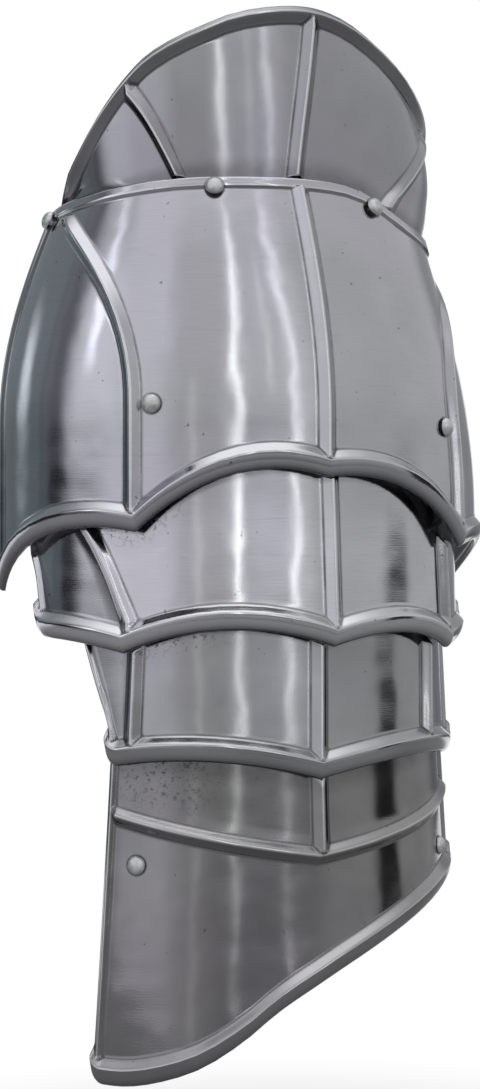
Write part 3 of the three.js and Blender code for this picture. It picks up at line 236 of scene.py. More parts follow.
def neck_section(z, a):
    start = SHOULDER["dome_start"]
    seat_z = np.minimum(z, start)
    w, d, _ = inset(shoulder_section, PLATE + PLATE_FIT)(seat_z, a)
    share = (z - seat_z) / (NECK["top"] - start)
    front = np.asarray(a) >= 0
    seam = shoulder_top(a)
    free = clamp((z - seam) / (rim_edge(a) - seam))
    bulge = np.where(front, NECK["bulge"] * np.sin(free * math.pi), 0.0)
    flare = np.where(front, NECK["front_flare"], NECK["rear_flare"])
    return w + flare * share + bulge, d + NECK["rear_flare"] * share, NECK["lean"] * share


def lame_section(sizes):
    start, end = sizes["drop"]

    def section(z, a):
        share = (-np.asarray(z, float) - start) / (end - start)
        drawn_in = np.where(np.asarray(a) > 0, sizes["inset"], 0.0)
        return (mix(*sizes["width"], share) - drawn_in, mix(*sizes["depth"], share), 0.0 * share)
    return section


upper_section = lame_section(UPPER)
middle_section = lame_section(MIDDLE)
lower_section = lame_section(LOWER)


def surface(section, a, z):
    """The point of a section at an angle and a height."""
    w, d, lean = section(z, a)
    turn = np.radians(a)
    x = w * np.sin(turn)
    return np.stack([x, lean - d * np.cos(turn), z + 0.0 * x], axis=-1)


def normal(section, a, z):
    along = surface(section, a + ANGLE_STEP, z) - surface(section, a - ANGLE_STEP, z)
    up = surface(section, a, z + HEIGHT_STEP) - surface(section, a, z - HEIGHT_STEP)
    n = np.cross(along, up)
    return n / np.linalg.norm(n, axis=-1, keepdims=True)


def per_degree(section, a, z):
    w, d, _ = section(z, a)
    turn = np.radians(a)
    return np.hypot(w * np.cos(turn), d * np.sin(turn)) * math.pi / 180


# Share of the way between two rows in which a ridge sinks to the row that stops it
STOP_RUN = 0.3

# How full a border's turned-over edge is: 1 is a flat slope, 2 an ellipse
BEAD = 1.7

# The rounded profile of an embossed facet, from its foot (0) to its crest (1)
FACET = {"foot": 0.3, "crest": 0.87, "rounding": 0.16, "steps": 201}
_steps = np.linspace(0, 1, FACET["steps"])
_slope = smooth(_steps / FACET["foot"])
_slope = _slope * (1 - smooth((_steps - FACET["crest"]) / FACET["rounding"]))
_rise = np.concatenate([[0], np.cumsum((_slope[1:] + _slope[:-1]) / 2)])
_rise = _rise / _rise[-1]


def lift(low, high, t):
    """From one knot's height to the next one's, rounded at the foot and at the crest."""
    climbing = low + (high - low) * np.interp(t, _steps, _rise)
    falling = high + (low - high) * np.interp(1 - t, _steps, _rise)
    return np.where(high >= low, climbing, falling)


def rolled_over(low, high, t):
    """From one knot's height down to the next one's, as the quarter of a bead."""
    return high + (low - high) * (1 - t ** BEAD) ** (1 / BEAD)


def knot(at, raised=0.0, share=0.0, fill=0, stops="", ridge=False, profile=lift):
    """A line of a plate: where it runs, how far it is raised, and plain lines before it.
    A row may stop the ridges, or all raised columns, so that its own height holds there."""
    lifted = raised if callable(raised) else (lambda _: raised + 0.0 * np.asarray(_))
    return {"at": at, "raised": lifted, "share": share, "fill": fill, "stops": stops,
            "ridge": ridge, "profile": profile}


def kept_share(above, below, column, t):
    """Share of a column's height that is left between two rows, either of which may stop it."""
    stops = [row["stops"] == "all" or (row["stops"] == "ridges" and column["ridge"])
             for row in (above, below)]
    if all(stops):
        return 0.0
    kept = smooth(t / STOP_RUN) if stops[0] else 1.0
    return kept * smooth((1 - t) / STOP_RUN) if stops[1] else kept


# Spans with this many plain lines or more draw them together at both ends
WIDE_FILL = 8


def between(knots):
    """Every line of a plate as (first knot, second knot, share of the way)."""
    lines = [(knots[0], knots[0], 0.0)]
    for first, second in zip(knots, knots[1:]):
        count = second["fill"] + 1
        shares = [k / count for k in range(1, count + 1)]
        if second["fill"] >= WIDE_FILL:
            shares = [(1 - math.cos(math.pi * share)) / 2 for share in shares]
        lines += [(first, second, share) for share in shares]
    return lines


def add_object(name, data):
    obj = bpy.data.objects.new(name, data)
    bpy.context.scene.collection.objects.link(obj)
    return obj


def make_mesh(name, vertices, faces, attributes=()):
    mesh = bpy.data.meshes.new(name)
    mesh.from_pydata([tuple(v) for v in vertices], [], faces)
    for key, values in attributes:
        layer = mesh.attributes.new(key, "FLOAT", "POINT")
        layer.data.foreach_set("value", np.asarray(values, np.float32))
    mesh.polygons.foreach_set("use_smooth", [True] * len(mesh.polygons))
    mesh.update()
    return add_object(name, mesh)


def to_row(points):
    return (np.asarray(points, float) + FRAME_SHIFT) / 1000.0


def bend_of(raised, points):
    """How sharply the raising turns along both ways of the grid: positive in a hollow."""
    total = np.zeros_like(raised)
    for axis in (0, 1):
        step = np.linalg.norm(np.diff(points, axis=axis), axis=2)
        slope = np.diff(raised, axis=axis) / np.maximum(step, SHORTEST)
        lead = [slice(None), slice(None)]
        lead[axis] = slice(1, -1)
        total[tuple(lead)] += np.diff(slope, axis=axis)
    return total


def sheet_grid(section, rows, columns, tucked):
    """A sheet's points, their normals, and how far each is raised and tucked under."""
    points, normals, raised, tucks = [], [], [], []
    for above, below, t in rows:
        share = mix(above["share"], below["share"], t)
        a = np.array([mix(l["at"](share), r["at"](share), k) for l, r, k in columns], float)
        z = mix(above["at"](a), below["at"](a), t)
        row_raised = below["profile"](above["raised"](a), below["raised"](a), t)
        ends = [[c["raised"](share) * kept_share(above, below, c, t) for c in (left, right)]
                for left, right, _ in columns]
        column_raised = np.array([lift(*pair, k) for pair, (_, _, k) in zip(ends, columns)])
        both = np.maximum(row_raised, 0) ** JOIN + np.maximum(column_raised, 0) ** JOIN
        points.append(surface(section, a, z))
        normals.append(normal(section, a, z))
        raised.append(both ** (1 / JOIN))
        tucks.append(np.full(len(a), tucked(share)))
    return [np.array(part) for part in (points, normals, raised, tucks)]


def sheet_faces(height, width):
    """Faces of the outer grid, of the inner grid and of the edge between them."""
    layer = height * width
    index = np.arange(layer).reshape(height, width)
    a, b = index[:-1, :-1].ravel(), index[1:, :-1].ravel()
    c, d = index[1:, 1:].ravel(), index[:-1, 1:].ravel()
    outer = np.stack([a, b, c, d], 1)
    inner = np.stack([a, d, c, b], 1) + layer
    ring = np.concatenate([index[0, :], index[1:, -1], index[-1, -2::-1], index[-2:0:-1, 0]])
    following = np.roll(ring, -1)
    edge = np.stack([ring, following, following + layer, ring + layer], 1)
    return np.concatenate([outer, inner, edge]).tolist()


def shell(name, section, rows, columns, thickness, tucked=lambda share: 0.0):
    """A closed sheet of metal or leather, with values that the steel's tones follow."""
    points, normals, raised, tucks = sheet_grid(section, between(rows), between(columns), tucked)
    outer = points + normals * raised[..., None]
    inner = points + normals * (raised - thickness)[..., None]
    bend = bend_of(raised, outer)
    values = {"hollow": np.clip(bend, 0, None), "crest": np.clip(-bend, 0, None), "tucked": tucks}
    attributes = [(key, np.tile(grid.ravel(), 2)) for key, grid in values.items()]
    attributes.append(("inside", np.repeat([0.0, 1.0], raised.size)))
    vertices = to_row(np.concatenate([outer.reshape(-1, 3), inner.reshape(-1, 3)]))
    return make_mesh(name, vertices, sheet_faces(*raised.shape), attributes)


# Lines that the plates share
def rolled(section, edge_at, inward, middle, fill=0):
    """The raised edge of a side: its lines from the rear to the front."""
    def at(distance):
        def place(share):
            edge = edge_at(share)
            return edge + inward * distance / per_degree(section, edge, middle)
        return place
    lines = [knot(edge_at), knot(at(ROLL["edge"]), ROLL["height"], fill=2),
             knot(at(ROLL["edge"] + ROLL["foot"]), fill=3)]
    if inward > 0:
        return lines
    crest, foot = lines[1], lines[2]
    return [dict(foot, fill=fill), dict(crest, fill=3), dict(lines[0], fill=2)]


def ridge_lines(section, path, height_at, strength, fill, steepness=1.0):
    """A ridge's feet and its crest, equally wide wherever it slants."""
    def half_angle(share):
        a = path(share)
        z = height_at(a, share)
        before, after = share - SHARE_STEP, share + SHARE_STEP
        across = (path(after) - path(before)) * per_degree(section, a, z)
        down = height_at(a, after) - height_at(a, before)
        return RIDGE["half"] * np.hypot(across, down) / abs(down) / per_degree(section, a, z)
    return [knot(lambda s: path(s) - half_angle(s) * steepness, fill=fill),
            knot(path, lambda s: RIDGE["height"] * strength(s), fill=5, ridge=True),
            knot(lambda s: path(s) + half_angle(s), fill=5)]


def border_lines(edge_at, fill):
    """The raised border along a lower edge."""
    rise = BORDER["edge"]
    return [knot(lambda a: edge_at(a) + rise + BORDER["foot"], share=1, fill=fill),
            knot(lambda a: edge_at(a) + rise, BORDER["height"], share=1, fill=6, stops="ridges"),
            knot(edge_at, share=1, fill=9, stops="all", profile=rolled_over)]


def corner_lift(distance, radius):
    """How far a rounded corner draws an edge in, this far from the side."""
    reach = clamp(1 - distance / radius)
    return radius * (1 - np.sqrt(1 - reach * reach))


def straight(pair):
    return lambda share: mix(pair[0], pair[1], share)


def bowed(line):
    start, end, bow = line
    return lambda share: mix(start, end, share) + bow * 4 * clamp(share) * (1 - clamp(share))


# Shares of the way down a lame: where the cover over it ends, where the ridges are full, and
# over which the painted shade below the cover, and the soil specks in it, fade
COVER = {"end": 0.2, "full": 0.28, "soil": 0.24}


def growth(share):
    return float(clamp((share - COVER["end"]) / (COVER["full"] - COVER["end"])))


# One under the cover, fading below it: it drives the painted shade below the plate above, and where
# soil specks may lie
def shaded_and_soiled(share):
    return 1 - float(clamp((share - COVER["full"]) / COVER["soil"]))


def cover_lines(cover_at):
    """Lines at the edge of the plate above, between which the ridges rise."""
    return [knot(lambda a: cover_at(a) + RIDGE["end"], share=COVER["end"], fill=3),
            knot(lambda a: cover_at(a) + RIDGE["run"], share=COVER["full"], fill=4)]


# The five plates
def shoulder_plate():
    s = SHOULDER

    def height_at(a, share):
        return mix(shoulder_top(a), shoulder_bottom(a), share)

    def path(side):
        def place(share):
            left = float(clamp(1 - share / s["turn_end"]))
            return side * (s["foot"] + s["turn"] * left ** s["turn_power"])
        return place

    def rises(length):
        return lambda share: float(smooth(share / length))

    rows = [
        knot(shoulder_top, BAND["height"], stops="ridges"),
        knot(lambda a: shoulder_top(a) - BAND["edge"], BAND["height"], fill=3, stops="ridges"),
        knot(lambda a: shoulder_top(a) - BAND["edge"] - BAND["foot"], fill=4),
        knot(lambda a: height_at(a, s["seam"]), share=s["seam"], fill=1),
        *border_lines(shoulder_bottom, 26),
    ]
    middle = -s["rear_drop"] / 2
    section = shoulder_section
    columns = [
        *rolled(section, lambda _: s["rear"], 1, middle),
        *ridge_lines(section, path(-1), height_at, rises(s["rear_ridge_rise"]), 12),
        *ridge_lines(section, lambda _: s["centre"], height_at, lambda _: 1.0, 14),
        *ridge_lines(section, path(1), height_at, rises(s["front_ridge_rise"]), 14),
        *rolled(section, lambda _: s["front"], -1, middle, fill=12),
    ]
    return shell("shoulder_plate_raised", section, rows, columns, PLATE)


def neck_plate():
    def foot(a):
        return rim_edge(a) - RIM["edge"] - RIM["foot"]

    def fade(a):
        return np.minimum(shoulder_top(a) + NECK["fade"], foot(a) - NECK["gap"])

    def seat(a):
        return np.minimum(shoulder_top(a), fade(a) - NECK["gap"])

    def bottom(a):
        return np.minimum(shoulder_top(a) - NECK["overlap"], seat(a) - NECK["gap"] * 2)

    def strength(a):
        return smooth((rim_edge(a) - shoulder_top(a)) / NECK["run"])

    fade_share, edge_share = NECK["fade_share"], NECK["edge_share"]
    rows = [
        knot(rim_edge, lambda a: RIM["edge_height"] * strength(a), stops="ridges"),
        knot(lambda a: rim_edge(a) - RIM["edge"], lambda a: RIM["height"] * strength(a),
             fill=5, stops="ridges"),
        knot(foot, fill=6),
        knot(fade, share=fade_share, fill=16),
        knot(seat, share=edge_share, fill=2),
        knot(bottom, share=1, fill=3),
    ]

    def height_at(a, share):
        return mix(rim_edge(a), bottom(a), share)

    def fades(share):
        return float(clamp((edge_share - share) / (edge_share - fade_share)))

    def front_fades(share):
        return fades(share) * float(mix(NECK["front_ridge_at_rim"], 1, clamp(share / fade_share)))

    columns = [knot(lambda _: SHOULDER["rear"])]
    strengths = (fades, fades, front_fades)
    plan = zip(NECK["ridges"], NECK["fills"], strengths, NECK["steepness"])
    for pair, fill, kept, steepness in plan:
        columns += ridge_lines(neck_section, straight(pair), height_at, kept, fill, steepness)
    columns += [knot(lambda _: SHOULDER["front"], fill=14)]
    # Towards its bottom, where it passes under the shoulder plate, the neck plate gets painted
    # shade
    return shell("neck_plate_raised", neck_section, rows, columns, PLATE,
                 lambda share: float(clamp(share / fade_share)))


def lame_bottom(sizes, section):
    def bottom(a):
        edge = scallop(sizes["cusps"], a)
        gap = np.minimum(a - sizes["rear"][1], sizes["front"][1] - a)
        return edge + corner_lift(gap * per_degree(section, a, edge), sizes["corner"])
    return bottom


upper_bottom = lame_bottom(UPPER, upper_section)
middle_bottom = lame_bottom(MIDDLE, middle_section)


def lame(name, sizes, section, cover_at, bottom):
    def top(a):
        return scallop(sizes["top"], a)

    def height_at(a, share):
        return mix(top(a), bottom(a), share)

    middle = -sum(sizes["drop"]) / 2
    rows = [knot(top), *cover_lines(cover_at), *border_lines(bottom, 9)]
    columns = rolled(section, straight(sizes["rear"]), 1, middle)
    for line, fill in zip(sizes["ridges"], (6, 12, 12)):
        columns += ridge_lines(section, bowed(line), height_at, growth, fill)
    columns += rolled(section, straight(sizes["front"]), -1, middle, fill=8)
    return shell(name, section, rows, columns, PLATE, shaded_and_soiled)


def lower_plate():
    def top(a):
        return scallop(LOWER["top"], a)

    def belt(a):
        return scallop(LOWER["belt"], a)

    def bottom(a):
        edge = -LOWER["short"] - LOWER["slant"] * curve(SLANT, a)
        gap = np.minimum(a - LOWER["rear"][1], LOWER["front"][1] - a)
        return edge + corner_lift(gap * per_degree(lower_section, a, edge), LOWER["corner"])

    def height_at(a, share):
        return mix(top(a), bottom(a), share)

    rear_at, front_at = straight(LOWER["rear"]), straight(LOWER["front"])

    def belt_height(a):
        rear, front = rear_at(BELT["share"]), front_at(BELT["share"])
        gap = np.minimum(a - rear, front - a) * per_degree(lower_section, a, belt(a))
        return BELT["height"] * clamp((gap - ROLL["edge"]) / ROLL["foot"])

    rows = [
        knot(top), *cover_lines(middle_bottom),
        knot(lambda a: belt(a) + BELT["foot"], share=BELT["top_share"], fill=5),
        knot(belt, belt_height, share=BELT["share"], fill=5, stops="ridges"),
        knot(lambda a: belt(a) - BELT["foot"], share=BELT["bottom_share"], fill=5),
        *border_lines(bottom, 14),
    ]

    def strength(share):
        return growth(share) if share <= BELT["share"] else 0.0

    middle = -sum(LOWER["drop"]) / 2
    columns = [
        *rolled(lower_section, rear_at, 1, middle),
        *ridge_lines(lower_section, lambda _: LOWER["centre"], height_at, strength, 18),
        *rolled(lower_section, front_at, -1, middle, fill=20),
    ]
    return shell("lower_plate_raised", lower_section, rows, columns, PLATE, shaded_and_soiled)


# Rivets: smooth heads, shanks, burrs and buttons set on the axes of the plates' normals
def lathe(name, profile, place):
    """A turned piece from its profile of radius and height."""
    sides = LATHE["sides"]
    vertices, faces = [], []
    for radius, height in profile:
        for k in range(sides):
            turn = 2 * math.pi * k / sides
            point = Vector((radius * math.cos(turn), radius * math.sin(turn), height))
            vertices.append(tuple(place @ point))
    for i in range(len(profile) - 1):
        for k in range(sides):
            n = (k + 1) % sides
            faces.append((i * sides + k, i * sides + n, (i + 1) * sides + n, (i + 1) * sides + k))
    obj = make_mesh(name, vertices, faces)
    clean = bmesh.new()
    clean.from_mesh(obj.data)
    bmesh.ops.remove_doubles(clean, verts=clean.verts, dist=SAME_POINT)
    bmesh.ops.recalc_face_normals(clean, faces=clean.faces)
    clean.to_mesh(obj.data)
    clean.free()
    obj.data.set_sharp_from_angle(angle=math.radians(LATHE["sharp"]))
    return obj


def stack_axis(section, a, z):
    """Where a rivet's axis meets the plate, and which way it points."""
    centre = to_row(surface(section, np.float64(a), np.float64(z)))
    return Vector(centre), Vector(normal(section, np.float64(a), np.float64(z)))


def placed(centre, outward):
    """The matrix that sets a profile in millimetres on its axis."""
    turn = Vector((0, 0, 1)).rotation_difference(outward).to_matrix().to_4x4()
    return Matrix.Translation(centre) @ turn @ Matrix.Scale(0.001, 4)


def reach_of(node, centre, outward):
    """Lowest and highest point of a node along a rivet's axis, in millimetres from its centre."""
    vertices = frame_object(node).data.vertices
    along = [(Vector(v.co) - centre).dot(outward) * 1000 for v in vertices]
    return min(along), max(along)


def frame_object(node):
    return bpy.data.objects[node] if node in bpy.data.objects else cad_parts[node]


def rivet_profile(head, low, high):
    """A dome with a thin lip, the shank, and the peened button at the other end."""
    seat = high - head["height"]
    arc = [math.pi / 2 * k / LATHE["rings"] for k in range(LATHE["rings"] + 1)]
    dome = [(max(head["radius"] * math.sin(t), AXIS), seat + head["height"] * math.cos(t))
            for t in arc]
    under = seat - LIP["height"]
    lip = [(head["radius"] * LIP["share"], under), (SHANK, under)]
    base = low + BUTTON["height"]
    button = [(SHANK, base), (BUTTON["radius"] * BUTTON["top_share"], base),
              (BUTTON["radius"], base - BUTTON["top_drop"]),
              (BUTTON["radius"] * BUTTON["end_share"], low + BUTTON["end_rise"]), (AXIS, low)]
    return dome + lip + button


def burr_profile(low, high):
    bore, edge, soft = SHANK + BURR["play"], BURR["radius"], BURR["soft"]
    return [(bore, high), (edge - soft, high), (edge, high - soft), (edge, low + soft),
            (edge - soft, low), (bore, low), (bore, high)]


def rivet(node, section, a, z, head, body, steel):
    """A rivet and its burr, as long as the solid ones. Gives its place."""
    centre, outward = stack_axis(section, a, z)
    place = placed(centre, outward)
    profile = rivet_profile(head, *reach_of(node, centre, outward))
    dress(lathe(f"{node}_domed", profile, place), node, body, steel)
    burr = f"{node}_burr"
    profile = burr_profile(*reach_of(burr, centre, outward))
    dress(lathe(f"{burr}_round", profile, place), burr, body, steel)
    return tuple(centre)


def dress(obj, node, body, material):
    """Puts a finished piece in the place of its solid."""
    obj.data.materials.clear()
    obj.data.materials.append(material)
    if body:
        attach(obj, body)
    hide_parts(node)
    return obj


# Hanging leathers
def hanger_patch(name, start, end, sections, insets, blend):
    """A strip of leather that passes from behind one plate to behind the next."""
    (a0, z0), (a1, z1) = start, end

    def section(z, a):
        share = smooth((blend[0] - z) / (blend[0] - blend[1]))
        above = inset(sections[0], insets[0])(z, a)
        below = inset(sections[1], insets[1])(z, a)
        return tuple(mix(p, q, share) for p, q in zip(above, below))

    top, bottom = z0 + HANGER["margin"], z1 - HANGER["margin"]

    def middle(share):
        return mix(a0, a1, (z0 - mix(top, bottom, share)) / (z0 - z1))

    def side(s):
        def place(share):
            z = mix(top, bottom, share)
            end_gap = np.minimum(share, 1 - share) * (top - bottom)
            half = HANGER["half"] - corner_lift(end_gap, HANGER["corner"])
            return middle(share) + s * half / per_degree(section, middle(share), z)
        return place

    rows = [knot(lambda a: top + 0 * a, share=0),
            knot(lambda a: bottom + 0 * a, share=1, fill=HANGER["rows"])]
    columns = [knot(side(-1)), knot(side(1), fill=HANGER["columns"])]
    return shell(name, section, rows, columns, LEATHER)


# Body, section and sizes of each plate that hangs on leathers, from the top down
LEVELS = {"upper": ("upper_lame", upper_section, UPPER),
          "middle": ("middle_lame", middle_section, MIDDLE),
          "lower": ("lower_plate", lower_section, LOWER)}


def hangers(side, leather):
    """The three leathers of one side, which bend with the plates that they join."""
    sign = -1 if side == "rear" else 1
    start, first, body_a = SHOULDER_RIVETS[side], shoulder_section, "shoulder"
    start_inset = beside = PLATE + LEATHER_GAP
    clear = HANGER["margin"] + LEATHER
    for level, (body_b, second, sizes) in LEVELS.items():
        node = f"{level}_leather_{side}"
        a, z = PIVOTS[level]
        end = (sign * a, z)
        edge = float(scallop(sizes["top"], end[0])) + LEATHER * 2
        obj = hanger_patch(f"{node}_cut", start, end, (first, second), (start_inset, beside),
                           (start[1] - clear, edge))
        dress(obj, node, None, leather)
        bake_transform(obj)
        start, first, body_a = end, second, body_b
        start_inset = beside + LEATHER + SEAT_GAP


# Straps and buckle take their solid forms, with softened edges
def softened(node, body, material, width, smooth_angle):
    obj = add_object(f"{node}_soft", frame_object(node).data.copy())
    edit = bmesh.new()
    edit.from_mesh(obj.data)
    bmesh.ops.remove_doubles(edit, verts=edit.verts, dist=SAME_POINT)
    flat, limit = math.radians(SOFTEN["flat"]), math.radians(SOFTEN["sharp"])
    bmesh.ops.dissolve_limit(edit, angle_limit=flat, verts=edit.verts, edges=edit.edges)
    sharp = [e for e in edit.edges if len(e.link_faces) == 2 and e.calc_face_angle(0) > limit]
    bmesh.ops.bevel(edit, geom=sharp, offset=width / 1000, segments=2, affect="EDGES",
                    clamp_overlap=True, profile=SOFTEN["profile"])
    edit.to_mesh(obj.data)
    edit.free()
    obj.data.polygons.foreach_set("use_smooth", [True] * len(obj.data.polygons))
    obj.data.set_sharp_from_angle(angle=math.radians(smooth_angle))
    return dress(obj, node, body, material)


# Node helpers
class Nodes:
    """Short ways to add shader nodes to one tree."""

    def __init__(self, tree):
        self.tree = tree
        tree.nodes.clear()

    def feed(self, node, key, value):
        socket = node.inputs[key]
        if isinstance(value, bpy.types.NodeSocket):
            self.tree.links.new(value, socket)
        else:
            socket.default_value = value

    def add(self, kind, sockets=None, **settings):
        """A new node with its settings, and what its sockets get by name or number."""
        node = self.tree.nodes.new(kind)
        for key, value in settings.items():
            setattr(node, key, value)
        for key, value in (sockets or {}).items():
            self.feed(node, key, value)
        return node

    def math(self, operation, *values):
        return self.add("ShaderNodeMath", dict(enumerate(values)), operation=operation).outputs[0]

    def vector(self, operation, *values):
        return self.add("ShaderNodeVectorMath", dict(enumerate(values)), operation=operation)

    def split(self, vector):
        return self.add("ShaderNodeSeparateXYZ", {0: vector}).outputs

    def joined(self, *values):
        return self.add("ShaderNodeCombineXYZ", dict(enumerate(values))).outputs[0]

    def remap(self, value, low, high, to_low=0.0, to_high=1.0, kind="SMOOTHSTEP"):
        sockets = dict(enumerate((value, low, high, to_low, to_high)))
        return self.add("ShaderNodeMapRange", sockets, interpolation_type=kind).outputs[0]

    def noise(self, vector, scale, detail, roughness, distortion=0.0):
        sockets = {"Vector": vector, "Scale": scale, "Detail": detail, "Roughness": roughness,
                   "Distortion": distortion}
        return self.add("ShaderNodeTexNoise", sockets).outputs["Fac"]

    def colour_mix(self, share, a, b):
        return self.add("ShaderNodeMix", {0: share, 6: a, 7: b}, data_type="RGBA").outputs[2]

    def attribute(self, name):
        return self.add("ShaderNodeAttribute", attribute_name=name).outputs["Fac"]

    def place(self):
        return self.add("ShaderNodeTexCoord").outputs["Object"]

    def bump(self, height, strength, distance, below=None):
        sockets = {"Strength": strength, "Distance": distance, "Height": height}
        if below is not None:
            sockets["Normal"] = below
        return self.add("ShaderNodeBump", sockets).outputs[0]

    def shader_mix(self, share, first, second):
        sockets = {0: share, 1: first.outputs[0], 2: second.outputs[0]}
        return self.add("ShaderNodeMixShader", sockets)

    def show(self, shader, kind="ShaderNodeOutputMaterial"):
        self.add(kind, {0: shader.outputs[0]})

    def coat(self, shader, colour, roughness, normal):
        self.feed(shader, "Base Color", colour)
        self.feed(shader, "Roughness", roughness)
        self.feed(shader, "Normal", normal)
        self.show(shader)


def new_material(name, sockets):
    material = bpy.data.materials.new(name)
    material.use_nodes = True
    nodes = Nodes(material.node_tree)
    return material, nodes, nodes.add("ShaderNodeBsdfPrincipled", sockets)


def grey(value):
    return (value, value, value, 1)


METAL = {"Metallic": 1.0}
# Radius at which the steel's textures are unrolled, in metres
ROUND_RADIUS = 0.09


def unrolled(nodes, place):
    """Position unrolled round the arm: distance round it and height."""
    x, y, z = nodes.split(place)
    depth = nodes.math("SUBTRACT", float(FRAME_SHIFT[1] / 1000), y)
    turn = nodes.math("ARCTAN2", x, depth)
    return nodes.joined(nodes.math("MULTIPLY", turn, ROUND_RADIUS), z)


def near(nodes, place, centre, close, far, strength):
    """The strength close to a point, fading to nothing further off."""
    away = nodes.vector("DISTANCE", place, centre).outputs["Value"]
    return nodes.remap(away, close, far, strength, 0.0)


# Steel textures: repeats in a metre, along each way for those that run round the arm
PER_METRE = {"grain": 1900.0, "specks": 480.0, "pits": 420.0, "patches": 60.0, "waves": 28.0,
             "cloud": 26.0, "smears": 9.0, "brushing": (80, 2400, 1), "scratches": (30, 700, 1)}
# Painted contact shade round a rivet and soil beside a cusp: how near in metres, how far, how
# strong
RIVET_RING = (0.0041, 0.005, 0.8)
SOIL_SPOT = (0.006, 0.034, 0.8)
# Tints of the steel in turn: what their share follows, over which values, and the colour; several
# are painted light and shade
TINTS = [
    ("brushing", (0.35, 0.7, 0.0, 0.1), (0.30, 0.30, 0.32, 1)),
    ("scratches", (0.70, 0.725, 0.0, 0.08), (0.22, 0.22, 0.23, 1)),
    ("pits", (0.76, 0.82, 0.0, 0.6), (0.1, 0.095, 0.09, 1)),
    # Painted shade below the edge of the plate above: a dark band fading down the plate, and a
    # near-black strip at the seam
    ("tucked", (0.0, 1.0, 0.0, 0.22, "LINEAR"), (0.12, 0.12, 0.12, 1)),
    ("seam", (0.0, 1.0, 0.0, 0.5, "LINEAR"), (0.07, 0.068, 0.066, 1)),
    ("inside", (0.0, 1.0, 0.0, 0.6, "LINEAR"), (0.13, 0.128, 0.126, 1)),
    # Painted shade on undersides and painted light on upper sides, by which way the surface turns
    ("painted_light_by_facing", (-0.8, -0.2, 0.85, 0.0), (0.12, 0.12, 0.125, 1)),
    ("painted_light_by_facing", (0.36, 0.58, 0.0, 0.2), (0.68, 0.68, 0.69, 1)),
    # Lighter on the crests: edge wear and a painted highlight
    ("crest", (0.12, 0.6, 0.0, 0.55), (0.72, 0.72, 0.72, 1)),
    # Patina and painted shade in the hollows, painted contact shade round the rivets, and soil
    # specks
    ("dirt_and_shade", (0.0, 1.0, 0.0, 0.85, "LINEAR"), (0.055, 0.052, 0.05, 1)),
]
LAVENDER = (1.0, 0.965, 1.05)


def steel_dirt_and_shade(nodes, place, tucked, patchy, rings, soiled_at):
    """Patina and painted shade in the hollows, painted contact shade round the rivets, and soil in
    specks beside a cusp.
    """
    # Darker in the hollows: patina and painted shade
    dirt_and_shade = nodes.math("MULTIPLY", nodes.remap(nodes.attribute("hollow"), 0.1, 0.5), patchy)
    # A dark ring round each rivet's head: painted contact shade
    for centre in rings:
        dirt_and_shade = nodes.math("MAXIMUM", dirt_and_shade, near(nodes, place, centre, *RIVET_RING))
    if soiled_at is None:
        return dirt_and_shade
    specks = nodes.remap(nodes.noise(place, PER_METRE["specks"], 4.0, 0.75), 0.53, 0.62)
    soil = nodes.math("MULTIPLY", specks, near(nodes, place, soiled_at, *SOIL_SPOT))
    soil = nodes.math("MULTIPLY", soil, nodes.remap(tucked, 0.3, 0.9))
    return nodes.math("MAXIMUM", dirt_and_shade, soil)


def steel_tone(nodes, place, light, dark, cloud, follows):
    """The steel's colour: two close tones, a lavender cast in places, and the tints, several of
    which are painted light and shade.
    """
    tone = nodes.colour_mix(nodes.remap(cloud, 0.32, 0.68), light, dark)
    smears = nodes.noise(place, PER_METRE["smears"], 2.0, 0.5)
    lavender = tuple(c * k for c, k in zip(light, LAVENDER)) + (1,)
    tone = nodes.colour_mix(nodes.remap(smears, 0.4, 0.6, 0.0, 0.6), tone, lavender)
    for name, ramp, colour in TINTS:
        tone = nodes.colour_mix(nodes.remap(follows[name], *ramp), tone, colour)
    return tone


